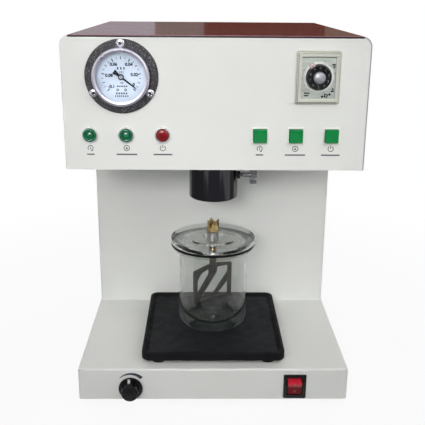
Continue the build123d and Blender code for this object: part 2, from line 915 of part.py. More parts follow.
def lamp_bodies():
    """Pilot lamp bodies: bezel ring ahead of the panel, barrel behind it."""
    body = turned([
        (0, -lamp_body_depth),
        (lamp_body_radius, -lamp_body_depth),
        (lamp_body_radius, 0),
        (lamp_bezel_radius, 0),
        (lamp_bezel_radius, lamp_bezel_proud * 0.6),
        (lamp_bezel_radius - 0.7, lamp_bezel_proud),
        (lamp_lens_radius, lamp_bezel_proud),
        (lamp_lens_radius, lamp_bezel_proud * 0.3),
        (0, lamp_bezel_proud * 0.3),
    ])
    return group(facing_front(body, x, front, control_z) for x in lamp_xs)


def lamp_lens():
    """Domed lamp lens that sits in the bezel ring."""
    return turned([
        (0, lamp_bezel_proud * 0.3),
        (lamp_lens_radius, lamp_bezel_proud * 0.3),
        (lamp_lens_radius, lamp_bezel_proud),
        (lamp_lens_radius * 0.8, lamp_lens_proud * 0.85),
        (lamp_lens_radius * 0.4, lamp_lens_proud),
        (0, lamp_lens_proud),
    ])


def green_lamp_lenses():
    """Lenses of the mixing and vacuum lamps."""
    return group(facing_front(lamp_lens(), x, front, control_z) for x in lamp_xs[:2])


def red_lamp_lens():
    """Lens of the power lamp."""
    return facing_front(lamp_lens(), lamp_xs[2], front, control_z)


def button_housings():
    """Square bezels with their switch bodies."""
    housings = []
    well = button_cap_size + 2 * soft_gap
    well_bottom = front + button_skirt + button_travel + 2 * button_well_gap
    stem_end = front + button_skirt + button_stem_length + button_travel + button_well_gap
    for x in button_xs:
        bezel = plaque(
            x, control_z, button_bezel_size, button_bezel_size,
            front, front - button_bezel_proud, bezel_corner
        )
        body = plaque(
            x, control_z, button_body_size, button_body_size,
            front + button_body_depth, front, cutout_corner
        )
        hollow = plaque(
            x, control_z, well, well, well_bottom, front - button_bezel_proud - 1,
            button_well_corner
        )
        stem_hole = rod_y(
            x, control_z, front, stem_end, button_stem_radius + running_gap
        )
        housings.append(bezel + body - hollow - stem_hole)
    return group(housings)


def push_button(x):
    """Square cap with its guide stem."""
    cap = plaque(
        x, control_z, button_cap_size, button_cap_size,
        front + button_skirt, front - button_cap_proud, button_cap_corner
    )
    stem_start = front + button_skirt
    return cap + rod_y(x, control_z, stem_start, stem_start + button_stem_length, button_stem_radius)


def rocker_case():
    """Rocker switch case with its bezel and well."""
    case = plaque(
        rocker_x, rocker_z, rocker_case_width, rocker_case_height,
        front, front - rocker_case_proud, bezel_corner
    )
    case += plaque(
        rocker_x, rocker_z, rocker_body_width, rocker_body_height,
        front + rocker_body_depth, front, cutout_corner
    )
    case -= plaque(
        rocker_x, rocker_z, rocker_well_width, rocker_well_height,
        front + rocker_well_depth, front - rocker_case_proud - 1, rocker_well_corner
    )
    pin_half = rocker_width / 2 + rocker_pin_reach + rocker_pin_end_gap
    case -= rod_x(
        front + rocker_pivot_depth, rocker_z, rocker_x - pin_half, rocker_x + pin_half,
        rocker_pin_radius + running_gap
    )
    return case


def power_rocker():
    """Two-faced rocker on its pivot pin, tilted to its off position."""
    outline = make_face(Polyline(
        (-rocker_crease, 0),
        (-rocker_lip, rocker_half),
        (0, rocker_back_half),
        (rocker_tail, rocker_tail_half),
        (rocker_tail, -rocker_tail_half),
        (0, -rocker_back_half),
        (-rocker_lip, -rocker_half),
        close=True,
    ))
    plane = Plane(origin=(0, 0, 0), x_dir=(0, 1, 0), z_dir=(1, 0, 0))
    body = extrude(plane * outline, amount=rocker_width / 2, both=True)
    pin_half = rocker_width / 2 + rocker_pin_reach
    body += rod_x(0, 0, -pin_half, pin_half, rocker_pin_radius)
    tilted = Rot(rocker_tilt, 0, 0) * body
    return Pos(rocker_x, front + rocker_pivot_depth, rocker_z) * tilted


def potentiometer():
    """Potentiometer body behind the panel with its threaded bush."""
    body = rod_y(knob_x, knob_z, front + sheet, front + sheet + pot_depth, pot_radius)
    body += rod_y(knob_x, knob_z, front - pot_bush_reach, front + sheet, pot_bush_radius)
    body -= rod_y(
        knob_x, knob_z, front - pot_bush_reach - 1, front + sheet + pot_shaft_depth + 1,
        pot_shaft_radius + running_gap
    )
    return body


def knob_base():
    """Height of the knob's back above the panel."""
    return pot_bush_reach + knob_gap


def potentiometer_shaft():
    """Round shaft from the potentiometer into the knob."""
    return rod_y(
        knob_x, knob_z, front - knob_base() - knob_bore_depth, front + sheet + pot_shaft_depth,
        pot_shaft_radius
    )


def intensity_knob():
    """Fluted knob with a skirt."""
    back = knob_base()
    skirt_front = back + knob_skirt_thickness
    knob = turned([
        (0, back),
        (knob_skirt_radius, back),
        (knob_skirt_radius, skirt_front - 0.8),
        (knob_skirt_radius - 1.2, skirt_front),
        (knob_grip_radius, skirt_front),
        (knob_grip_radius - 0.8, knob_reach - 1.2),
        (knob_grip_radius - 2.0, knob_reach),
        (0, knob_reach),
    ])
    for index in range(knob_lobes):
        angle = 2 * math.pi * (index + 0.5) / knob_lobes
        reach = knob_grip_radius + knob_flute_radius * 0.45
        x = reach * math.cos(angle)
        y = reach * math.sin(angle)
        knob -= rod_z(x, y, skirt_front, knob_reach + 1, knob_flute_radius)
    knob -= rod_z(0, 0, back - 1, back + knob_bore_depth, pot_shaft_radius)
    return facing_front(knob, knob_x, front, knob_z)


def port_z():
    """Height of the vacuum port through the housing's flange."""
    return head_floor + port_height


def port_end_y():
    """Outer end of the vacuum port's nozzle."""
    return drive_y + housing_flange_radius + nozzle_length


def drive_housing():
    """Turned housing: flange on the head's floor, barrel, sleeve bore and socket."""
    flange_top = head_floor + housing_flange_height
    bore = sleeve_radius + panel_gap
    groove_top = housing_mouth + seal_thickness - seal_proud
    housing = turned([
        (socket_radius, housing_mouth),
        (seal_inner, housing_mouth),
        (seal_inner, groove_top),
        (seal_outer, groove_top),
        (seal_outer, housing_mouth),
        (housing_radius, housing_mouth),
        (housing_radius, head_floor),
        (housing_flange_radius, head_floor),
        (housing_flange_radius, flange_top),
        (bore, flange_top),
        (bore, sleeve_bottom),
        (socket_radius, sleeve_bottom),
    ])
    boss_end = housing_radius + clamp_boss_length
    housing += rod_x(0, clamp_z, housing_radius - 2, boss_end, clamp_boss_radius)
    housing -= rod_x(0, clamp_z, bore / 2, boss_end + 1, clamp_rod_radius + screw_gap)
    port_y = (socket_radius + housing_radius) / 2
    nozzle = rod_y(
        0, port_z(), housing_flange_radius - 2, port_end_y() - drive_y, nozzle_radius
    )
    housing += nozzle
    housing -= rod_y(0, port_z(), port_y, port_end_y() - drive_y + 1, port_bore_radius)
    housing -= rod_z(0, port_y, sleeve_bottom - 4, port_z(), port_bore_radius)
    housing -= rod_y(0, sleeve_bottom - 4, socket_radius - 2, port_y, port_bore_radius)
    return Pos(0, drive_y, 0) * housing


def housing_seal():
    """Rubber ring in the housing's mouth."""
    bottom = housing_mouth - seal_proud
    ring = rod_z(0, drive_y, bottom, bottom + seal_thickness, seal_outer)
    return ring - rod_z(0, drive_y, bottom - 1, bottom + seal_thickness + 1, seal_inner)


def bearing_sleeve():
    """Sleeve that carries the two spindle bearings and rests on the head's floor."""
    collar_bottom = head_floor + housing_flange_height
    sleeve = rod_z(0, drive_y, sleeve_bottom, sleeve_top, sleeve_radius)
    sleeve -= rod_z(0, drive_y, sleeve_bottom - 1, sleeve_top + 1, bearing_radius - bearing_lip)
    for bottom in bearing_bottoms():
        sleeve -= rod_z(0, drive_y, bottom, bottom + bearing_height, bearing_radius)
    sleeve -= rod_z(0, drive_y, sleeve_top - bearing_height, sleeve_top + 1, bearing_radius)
    collar = rod_z(0, drive_y, collar_bottom, sleeve_top, sleeve_collar_radius)
    return sleeve + (collar - rod_z(0, drive_y, collar_bottom - 1, sleeve_top + 1, sleeve_radius))


def bearing_bottoms():
    """Lower faces of the two spindle bearings."""
    return (sleeve_bottom + bearing_lip, sleeve_top - bearing_height)


def spindle_bearings():
    """Two ball bearings in the sleeve."""
    rings = []
    for bottom in bearing_bottoms():
        ring = rod_z(0, drive_y, bottom, bottom + bearing_height, bearing_radius)
        bore = rod_z(0, drive_y, bottom - 1, bottom + bearing_height + 1, spindle_radius + running_gap)
        rings.append(ring - bore)
    return group(rings)


def drive_spindle():
    """Spindle with a thinner nose and a cross pin that drives the crown."""
    nose_top = nose_bottom + nose_length
    spindle = rod_z(0, drive_y, nose_top, spindle_top, spindle_radius)
    spindle += rod_z(0, drive_y, nose_bottom, nose_top, nose_radius)
    pin = Rot(0, 0, crown_angle()) * rod_x(
        0, nose_bottom + cross_pin_height, -cross_pin_length / 2, cross_pin_length / 2,
        cross_pin_radius
    )
    return spindle + Pos(0, drive_y, 0) * pin


def crown_angle():
    """Direction of the crown's slots and of the cross pin."""
    return blade_angle + 28.0


def shaft_coupling():
    """Sleeve that joins the spindle to the motor's shaft."""
    top = coupling_bottom + coupling_height
    joint = rod_z(0, drive_y, coupling_bottom, top, coupling_radius)
    joint -= rod_z(0, drive_y, coupling_bottom - 1, spindle_top, spindle_radius)
    joint -= rod_z(0, drive_y, spindle_top, top + 1, motor_shaft_radius)
    return joint


def motor_shaft():
    """Motor's shaft from the coupling into the motor."""
    return rod_z(0, drive_y, motor_shaft_bottom, motor_seat + motor_shaft_depth, motor_shaft_radius)


def mixer_motor():
    """Upright motor with a rounded top cap."""
    top = motor_seat + motor_length
    motor = rod_z(0, drive_y, motor_seat, top, motor_radius)
    motor = chamfer(motor.edges().sort_by(Axis.Z)[-1], 3.0)
    motor -= rod_z(
        0, drive_y, motor_seat - 1, motor_seat + motor_shaft_depth + 1,
        motor_shaft_radius + running_gap
    )
    return motor


def motor_bracket():
    """Plate on four legs that carries the motor over the housing."""
    half = bracket_half_width
    plate = block(-half, half, drive_y - half, drive_y + half, bracket_underside, motor_seat)
    plate -= rod_z(0, drive_y, bracket_underside - 1, motor_seat + 1, motor_boss_radius)
    reach = half - bracket_leg / 2
    for x in (-reach, reach):
        for y in (-reach, reach):
            plate += rod_z(x, drive_y + y, head_floor, bracket_underside, bracket_leg / 2)
    return plate


def pad_inner_x():
    """Inner end of the clamp pad."""
    return sleeve_radius + soft_gap


def clamp_pad():
    """Brass pad that the clamp screw pushes against the sleeve."""
    x0 = pad_inner_x()
    return rod_x(drive_y, clamp_z, x0, x0 + clamp_pad_length, clamp_rod_radius)


def knob_inner_x():
    """Inner face of the clamp knob."""
    return housing_radius + clamp_rod_reach


def clamp_rod():
    """Threaded rod from the pad to the knob."""
    x0 = pad_inner_x() + clamp_pad_length
    return rod_x(drive_y, clamp_z, x0, knob_inner_x() + clamp_knob_width * 0.8, clamp_rod_radius)


def clamp_knob():
    """Knurled knob pressed on the rod."""
    x0 = knob_inner_x()
    x1 = x0 + clamp_knob_width
    knob = rod_x(drive_y, clamp_z, x0, x1, clamp_knob_radius)
    knob = chamfer(knob.edges().filter_by(GeomType.CIRCLE), 1.0)
    for index in range(knurl_count):
        angle = 2 * math.pi * index / knurl_count
        y = drive_y + clamp_knob_radius * math.cos(angle)
        z = clamp_z + clamp_knob_radius * math.sin(angle)
        knob -= rod_x(y, z, x0 - 1, x1 + 1, knurl_depth)
    knob -= rod_x(drive_y, clamp_z, x0 - 1, x0 + clamp_knob_width * 0.8, clamp_rod_radius)
    return knob


def vacuum_pump():
    """Pump: motor barrel, pump head, foot plate and three nozzles."""
    foot_bottom = base_top + pump_lift
    foot_top = foot_bottom + pump_foot_thickness
    axis_z = foot_top + pump_belly_gap + pump_radius
    half = pump_length / 2
    pump = rod_x(pump_y, axis_z, -half, half - pump_head_width, pump_radius)
    pump += block(
        half - pump_head_width, half, pump_y - pump_head_size / 2, pump_y + pump_head_size / 2,
        foot_top, foot_top + pump_head_size
    )
    pump += block(
        -half, half, pump_y - pump_radius, pump_y + pump_radius, foot_bottom, foot_top
    )
    pump += block(
        -half + pump_foot_width / 2, half - pump_head_width, pump_y - pump_foot_width,
        pump_y + pump_foot_width, foot_top, axis_z - pump_radius / 2
    )
    top = foot_top + pump_head_size
    for x in pump_nozzle_xs():
        pump += rod_z(x, pump_y, top, top + nozzle_length, nozzle_radius)
    return pump


def pump_nozzle_xs():
    """Pump nozzles: suction to the housing, suction to the gauge, exhaust."""
    middle = pump_length / 2 - pump_head_width / 2
    step = pump_head_width / 3
    return (middle, middle - step, middle + step)


def pump_mounts():
    """Four rubber buffers under the pump."""
    return group(
        rod_z(x, y, base_top, base_top + pump_lift, pump_mount_radius)
        for x, y in pump_mount_places()
    )


def hose(points, radii):
    """Rubber hose along straight runs joined by tangent arcs."""
    path = FilletPolyline(*points, radius=radii)
    start = Plane(origin=points[0], z_dir=Vector(*points[1]) - Vector(*points[0]))
    outer = sweep(start * Circle(hose_radius), path=path)
    inner = sweep(start * Circle(nozzle_radius), path=path)
    return outer - inner


def vacuum_hoses():
    """Hoses from the pump to the housing, the gauge and the exhaust spigot."""
    nozzle_bottom = base_top + pump_lift + pump_foot_thickness + pump_head_size
    low = nozzle_bottom + 1.0
    suction_x, gauge_port_x, exhaust_x = pump_nozzle_xs()
    port_start = port_end_y() - nozzle_length + 1.0
    drive_hose = hose(
        [
            (suction_x, pump_y, low),
            (suction_x, pump_y, port_z()),
            (suction_x, pump_y - 50.0, port_z()),
            (0, port_start + 15.0, port_z()),
            (0, port_start, port_z()),
        ],
        [40.0, 30.0, 30.0],
    )
    stem_end = front + gauge_body_depth + gauge_stem_length + 1.0
    gauge_hose = hose(
        [
            (gauge_port_x, pump_y, low),
            (gauge_port_x, pump_y, low + 90.0),
            (gauge_x / 2, pump_y - 10.0, gauge_z - 40.0),
            (gauge_x, pump_y - 60.0, gauge_z),
            (gauge_x, stem_end, gauge_z),
        ],
        [60.0, 60.0, 60.0],
    )
    exhaust_y = rear - sheet - 1.0
    exhaust_hose = hose(
        [
            (exhaust_x, pump_y, low),
            (exhaust_x, pump_y, low + 70.0),
            (exhaust_x, exhaust_y - 38.0, low + 70.0),
            (0, exhaust_y - 38.0, spigot_z + 10.0),
            (0, exhaust_y - nozzle_length, spigot_z),
            (0, exhaust_y, spigot_z),
        ],
        [20.0, 20.0, 20.0, 8.0],
    )
    return group([drive_hose, gauge_hose, exhaust_hose])


def exhaust_spigot():
    """Brass hose tail through the rear cover."""
    flange_front = rear + spigot_flange_thickness
    spigot = rod_y(0, spigot_z, rear, flange_front, spigot_flange_radius)
    spigot += rod_y(0, spigot_z, flange_front, rear + spigot_reach, spigot_radius)
    spigot += rod_y(0, spigot_z, rear - sheet - nozzle_length, rear, nozzle_radius)
    spigot -= rod_y(
        0, spigot_z, rear - sheet - nozzle_length - 1, rear + spigot_reach + 1, nozzle_radius / 2
    )
    return spigot


def power_inlet():
    """Appliance inlet with its socket and three pins, and the fuse holder beside it."""
    y_face = rear + inlet_proud
    inlet = plaque(inlet_x, inlet_z, inlet_width, inlet_height, y_face, rear, inlet_corner)
    inlet += plaque(
        inlet_x, inlet_z, inlet_body_width, inlet_body_height, rear, rear - inlet_body_depth,
        cutout_corner
    )
    inlet -= plaque(
        inlet_x, inlet_z, inlet_socket_width, inlet_socket_height,
        y_face + 1, y_face - inlet_socket_depth, inlet_corner
    )
    pin_back = y_face - inlet_socket_depth - 1
    pin_front = y_face - inlet_pin_setback
    for dx, dz in inlet_pin_places:
        x = inlet_x + dx
        z = inlet_z + dz
        inlet += block(
            x - inlet_pin_half_width, x + inlet_pin_half_width, pin_back, pin_front,
            z - inlet_pin_half_height, z + inlet_pin_half_height
        )
    flange_end = rear + fuse_flange_thickness
    fuse = rod_y(fuse_x, inlet_z, rear - fuse_depth, rear, fuse_radius)
    fuse += rod_y(fuse_x, inlet_z, rear, flange_end, fuse_cap_radius + fuse_flange_width)
    fuse += rod_y(fuse_x, inlet_z, flange_end, rear + fuse_reach, fuse_grip_radius)
    return group([inlet, fuse])


def control_board():
    """Relay and timing board on four standoffs in the head."""
    x0 = bracket_half_width + board_bracket_gap
    x1 = head_inner_half - board_side_gap
    y0 = front + timer_body_depth + board_timer_gap
    y1 = y0 + board_depth
    z0 = head_floor + board_lift
    z1 = z0 + board_thickness
    board = block(x0, x1, y0, y1, z0, z1)
    for x in (x0 + standoff_inset, x1 - standoff_inset):
        for y in (y0 + standoff_inset, y1 - standoff_inset):
            board += rod_z(x, y, head_floor, z0, standoff_radius)
    relay_row = x1 - relay_end - x0 - relay_start
    relay_width = (relay_row - (relay_count - 1) * relay_gap) / relay_count
    relay_y = y0 + relay_margin
    for index in range(relay_count):
        x = x0 + relay_start + index * (relay_width + relay_gap)
        board += block(x, x + relay_width, relay_y, relay_y + relay_size, z1, z1 + relay_size)
    transformer_x = x0 + relay_start
    transformer_y = relay_y + relay_size + board_row_gap
    board += block(
        transformer_x, transformer_x + transformer_width,
        transformer_y, transformer_y + transformer_depth, z1, z1 + transformer_height
    )
    return board


def rounded_slab(width, depth, z0, z1, corner, y):
    """Flat slab with rounded upright corners."""
    slab = extrude(RectangleRounded(width, depth, corner), amount=z1 - z0)
    return Pos(0, y, z0) * slab


def table_tray():
    """Black rubber tray with a raised rim and a pocket for the steel plate."""
    tray = rounded_slab(tray_width, tray_depth, tray_bottom, tray_top, tray_corner, tray_y)
    tray -= rounded_slab(
        tray_width - 2 * tray_rim, tray_depth - 2 * tray_rim, tray_floor, tray_top + 1,
        tray_corner - tray_rim, tray_y
    )
    half = plate_size / 2 + panel_gap
    tray -= block(
        -half, half, drive_y - half, tray_y + tray_depth / 2 - tray_rim,
        tray_bottom - 1, tray_bottom + plate_thickness
    )
    return tray


def table_plate():
    """Steel plate under the tray with the stem and armature welded to it."""
    half = plate_size / 2
    y1 = tray_y + tray_depth / 2 - tray_rim - panel_gap
    plate = block(-half, half, drive_y - half, y1, tray_bottom, tray_bottom + plate_thickness)
    armature_top = base_top - sheet - armature_drop
    plate += rod_z(0, drive_y, armature_top, tray_bottom, armature_stem_radius)
    plate += block(
        -armature_length / 2, armature_length / 2, drive_y - armature_width / 2,
        drive_y + armature_width / 2, armature_top - armature_thickness, armature_top
    )
    return plate


def table_mounts():
    """Four rubber buffers between the base and the tray."""
    return group(rod_z(x, y, base_top, tray_bottom, mount_radius) for x, y in mount_places())


def vibrator_coil():
    """Electromagnet on the bottom plate: U core with a coil round each leg."""
    bottom = base_bottom + sheet
    top = base_top - sheet - armature_drop - armature_thickness - magnet_gap
    half_length = core_length / 2
    half_width_core = core_width / 2
    magnet = block(
        -half_length, half_length, drive_y - half_width_core, drive_y + half_width_core,
        bottom, bottom + core_foot
    )
    for side in (-1, 1):
        leg = sorted((side * (half_length - 14), side * half_length))
        magnet += block(
            leg[0], leg[1], drive_y - half_width_core, drive_y + half_width_core, bottom, top
        )
        coil = sorted((side * 4.0, side * (half_length + 4.0)))
        magnet += block(
            coil[0], coil[1], drive_y - half_width_core - coil_wall / 2,
            drive_y + half_width_core + coil_wall / 2, bottom + core_foot, top - 3.0
        )
    return magnet


def bowl():
    """Clear bowl with a rounded bottom and a flange."""
    top = bowl_height
    flange_bottom = top - bowl_flange_height
    inner = bowl_inner_radius
    outer_arc = math.radians(45)
    inner_arc = math.radians(45)
    outer_centre = bowl_radius - bowl_corner
    inner_centre = inner - bowl_inner_corner
    lines = Line((0, 0), (outer_centre, 0))
    lines += ThreePointArc(
        (outer_centre, 0),
        (outer_centre + bowl_corner * math.sin(outer_arc), bowl_corner * (1 - math.cos(outer_arc))),
        (bowl_radius, bowl_corner),
    )
    lines += Polyline(
        (bowl_radius, bowl_corner),
        (bowl_radius, flange_bottom - 1.5),
        (bowl_radius + 1.5, flange_bottom),
        (bowl_flange_radius - 0.8, flange_bottom),
        (bowl_flange_radius, flange_bottom + 0.8),
        (bowl_flange_radius, top - 0.8),
        (bowl_flange_radius - 0.8, top),
        (inner, top),
        (inner, bowl_floor + bowl_inner_corner),
    )
    lines += ThreePointArc(
        (inner, bowl_floor + bowl_inner_corner),
        (
            inner_centre + bowl_inner_corner * math.sin(inner_arc),
            bowl_floor + bowl_inner_corner * (1 - math.cos(inner_arc)),
        ),
        (inner_centre, bowl_floor),
    )
    lines += Line((inner_centre, bowl_floor), (0, bowl_floor))
    lines += Line((0, bowl_floor), (0, 0))
    cup = revolve(Plane.XZ * make_face(lines), Axis.Z)
    return Pos(0, drive_y, bowl_bottom) * cup


def lid_gasket():
    """Flat rubber ring between the bowl's flange and the lid."""
    outer = bowl_flange_radius - gasket_inset
    ring = rod_z(0, drive_y, bowl_top, lid_bottom, outer)
    return ring - rod_z(0, drive_y, bowl_top - 1, lid_bottom + 1, outer - gasket_width)


def lid():
    """Clear lid: rim, dished ring, raised seat and central boss."""
    lid_radius = bowl_flange_radius + lid_overhang
    rim_inner = lid_radius - lid_rim_width
    seat_radius = housing_radius - lid_seat_margin
    spigot_radius = bowl_inner_radius - lid_spigot_gap
    boss_radius = bush_radius + lid_boss_wall
    profile = turned([
        (bush_radius, 0),
        (spigot_radius - lid_spigot_wall, 0),
        (spigot_radius - lid_spigot_wall, -lid_spigot_depth),
        (spigot_radius, -lid_spigot_depth),
        (spigot_radius, 0),
        (lid_radius, 0),
        (lid_radius, lid_height - lid_edge),
        (lid_radius - lid_edge, lid_height),
        (rim_inner, lid_height),
        (rim_inner - lid_rim_slope, lid_plate),
        (seat_radius + lid_seat_slope, lid_plate),
        (seat_radius, lid_seat_height),
        (boss_radius + lid_boss_taper, lid_seat_height),
        (boss_radius, lid_boss_height),
        (bush_radius, lid_boss_height),
    ])
    return Pos(0, drive_y, lid_bottom) * profile


def lid_bush():
    """Bronze bush in the lid's boss."""
    bush = rod_z(0, drive_y, lid_bottom - bush_drop, boss_top, bush_radius)
    return bush - rod_z(
        0, drive_y, lid_bottom - bush_drop - 1, boss_top + 1, shaft_radius + running_gap
    )


def blade_z(height):
    """Row height of a point on the paddle given above the bowl's base."""
    return bowl_bottom + height


def paddle_shaft():
    """Steel shaft, slotted at its lower end for the blade."""
    bottom = blade_z(blade_top) - blade_slot_depth
    shaft = rod_z(0, 0, bottom, shaft_top, shaft_radius)
    slot = block(
        -shaft_radius - 1, shaft_radius + 1, -blade_thickness / 2, blade_thickness / 2,
        bottom - 1, blade_z(blade_top)
    )
    return Pos(0, drive_y, 0) * Rot(0, 0, blade_angle) * (shaft - slot)


def paddle_blade():
    """Open steel plate: two side bars, sloped top, two braces and a foot bar."""
    w = bowl_inner_radius - blade_side_gap
    hub = blade_hub_half
    outline = make_face(Polyline(
        (-w, blade_foot + 4),
        (-w + 4, blade_foot),
        (w - 4, blade_foot),
        (w, blade_foot + 4),
        (w, blade_shoulder),
        (hub, blade_top),
        (-hub, blade_top),
        (-w, blade_shoulder),
        close=True,
    ))
    inner = w - blade_bar
    low = blade_foot + blade_bar
    brace_top = blade_top - blade_slot_depth
    left_window = make_face(Polyline(
        (-inner, low + 10),
        (-hub + 1, brace_top),
        (-hub, blade_top - blade_bar),
        (-inner + 6, blade_shoulder - 5),
        (-inner, blade_shoulder - 14),
        close=True,
    ))
    middle_window = make_face(Polyline(
        (-inner + 2, low),
        (hub - 1, brace_top),
        (hub, blade_top - blade_bar),
        (inner, blade_shoulder - blade_bar + 3),
        (inner, blade_shoulder - 12),
        (-hub + 3, low),
        close=True,
    ))
    right_window = make_face(Polyline(
        (-hub + 3 + blade_brace + 2, low),
        (inner, low),
        (inner, blade_shoulder - 24),
        close=True,
    ))
    plane = Plane(origin=(0, 0, 0), x_dir=(1, 0, 0), z_dir=(0, -1, 0))
    face = outline - left_window - middle_window - right_window
    plate = extrude(plane * face, amount=blade_thickness / 2, both=True)
    return Pos(0, drive_y, bowl_bottom) * Rot(0, 0, blade_angle) * plate


def drive_crown():
    """Brass crown of four pointed prongs on the shaft's top."""
    crown = turned([
        (0, 0),
        (crown_radius, 0),
        (crown_radius, crown_height - crown_peak),
        (crown_radius - 1.2, crown_height),
        (crown_cavity_radius, crown_height),
        (crown_cavity_radius, crown_floor),
        (0, crown_floor),
    ])
    crown -= rod_z(0, 0, -1, crown_floor + 1, shaft_radius)
    for turn in (0, 90):
        crown -= Rot(0, 0, turn) * block(
            -crown_radius - 1, crown_radius + 1, -crown_slot / 2, crown_slot / 2,
            crown_floor + 0.5, crown_height + 1
        )
        flare = make_face(Polyline(
            (0, crown_height - crown_peak - crown_slot),
            (crown_radius * 0.72, crown_height + 0.5),
            (-crown_radius * 0.72, crown_height + 0.5),
            close=True,
        ))
        plane = Plane(origin=(0, 0, 0), x_dir=(1, 0, 0), z_dir=(0, -1, 0))
        wedge = extrude(plane * flare, amount=crown_radius + 1, both=True)
        crown -= Rot(0, 0, turn) * wedge
    return Pos(0, drive_y, crown_bottom) * Rot(0, 0, crown_angle()) * crown


nodes = {
    "base_pan": base_pan,
    "base_bottom_plate": base_bottom_plate,
    "rubber_feet": rubber_feet,
    "body_screws": body_screws,
    "column_shell": column_shell,
    "head_floor_plate": head_floor_plate,
    "head_front_panel": head_front_panel,
    "head_hood": head_hood,
    "rear_cover": rear_cover,
    "gauge_case": gauge_case,
    "gauge_bezel": gauge_bezel,
    "gauge_dial": gauge_dial,
    "gauge_lens": gauge_lens,
    "gauge_screws": gauge_screws,
    "gauge_pointer": gauge_pointer,
    "timer_frame": timer_frame,
    "timer_body": timer_body,
    "timer_dial": timer_dial,
    "timer_dial_cap": timer_dial_cap,
    "lamp_bodies": lamp_bodies,
    "green_lamp_lenses": green_lamp_lenses,
    "red_lamp_lens": red_lamp_lens,
    "button_housings": button_housings,
    "mix_button": lambda: push_button(button_xs[0]),
    "vacuum_button": lambda: push_button(button_xs[1]),
    "power_button": lambda: push_button(button_xs[2]),
    "rocker_case": rocker_case,
    "power_rocker": power_rocker,
    "potentiometer": potentiometer,
    "potentiometer_shaft": potentiometer_shaft,
    "intensity_knob": intensity_knob,
    "drive_housing": drive_housing,
    "housing_seal": housing_seal,
    "bearing_sleeve": bearing_sleeve,
    "spindle_bearings": spindle_bearings,
    "drive_spindle": drive_spindle,
    "shaft_coupling": shaft_coupling,
    "motor_shaft": motor_shaft,
    "mixer_motor": mixer_motor,
    "motor_bracket": motor_bracket,
    "clamp_pad": clamp_pad,
    "clamp_rod": clamp_rod,
    "clamp_knob": clamp_knob,
    "vacuum_pump": vacuum_pump,
    "pump_mounts": pump_mounts,
    "vacuum_hoses": vacuum_hoses,
    "exhaust_spigot": exhaust_spigot,
    "power_inlet": power_inlet,
    "control_board": control_board,
    "table_tray": table_tray,
    "table_plate": table_plate,
    "table_mounts": table_mounts,
    "vibrator_coil": vibrator_coil,
    "bowl": bowl,
    "lid_gasket": lid_gasket,
    "lid": lid,
    "lid_bush": lid_bush,
    "paddle_shaft": paddle_shaft,
    "paddle_blade": paddle_blade,
    "drive_crown": drive_crown,
}

os.makedirs("parts", exist_ok=True)
for name, make in nodes.items():
    export_step(make(), f"parts/{name}.step")
print("nodes", len(nodes), "dock travel", round(dock_travel, 2))
print("table travel", table_travel, "button travel", button_travel)
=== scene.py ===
import json
import math

import bmesh
import bpy
import numpy as np
from mathutils import Matrix


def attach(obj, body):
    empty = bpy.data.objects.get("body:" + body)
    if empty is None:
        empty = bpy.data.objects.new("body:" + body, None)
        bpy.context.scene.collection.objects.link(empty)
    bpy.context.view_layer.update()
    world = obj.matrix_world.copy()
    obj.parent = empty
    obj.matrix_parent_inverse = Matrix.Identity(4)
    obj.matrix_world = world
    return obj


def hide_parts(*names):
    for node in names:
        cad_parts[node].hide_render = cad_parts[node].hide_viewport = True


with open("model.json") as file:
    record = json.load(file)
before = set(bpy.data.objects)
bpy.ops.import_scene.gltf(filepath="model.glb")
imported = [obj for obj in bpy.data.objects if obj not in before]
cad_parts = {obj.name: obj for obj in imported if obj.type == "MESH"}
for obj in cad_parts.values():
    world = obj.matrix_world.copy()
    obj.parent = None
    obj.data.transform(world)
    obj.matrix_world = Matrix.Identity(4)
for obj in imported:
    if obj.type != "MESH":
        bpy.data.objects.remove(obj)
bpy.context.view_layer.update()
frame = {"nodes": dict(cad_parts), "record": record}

millimetre = 0.001
mergeDistance = 2e-6  # metres, between points that are one
film = 0.08  # thickness of a print, in millimetres
print("frame loaded,", len(frame["nodes"]), "nodes")

# Lengths in the dictionaries are millimetres, angles are degrees.
# A profile is a list of corners (across, along, set-back of the rounding).
# A seat is (place, facing, turn): where a shape's own zero goes and which way the shape looks.

# Where a shape's own x, y and height point; the front panel looks along -Y.
facings = {
    "up": ((1, 0, 0), (0, 1, 0), (0, 0, 1)),
    "down": ((1, 0, 0), (0, -1, 0), (0, 0, -1)),
    "front": ((1, 0, 0), (0, 0, 1), (0, -1, 0)),
    "back": ((-1, 0, 0), (0, 0, 1), (0, 1, 0)),
    "right": ((0, 1, 0), (0, 0, 1), (1, 0, 0)),
    "left": ((0, -1, 0), (0, 0, 1), (-1, 0, 0)),
}
machine = {"front": -167.75, "rear": 168.25, "half": 160.0, "driveY": -58.75}  # half its width
rounding = {"support": 1.3, "share": 0.5, "leastCorner": 0.05}


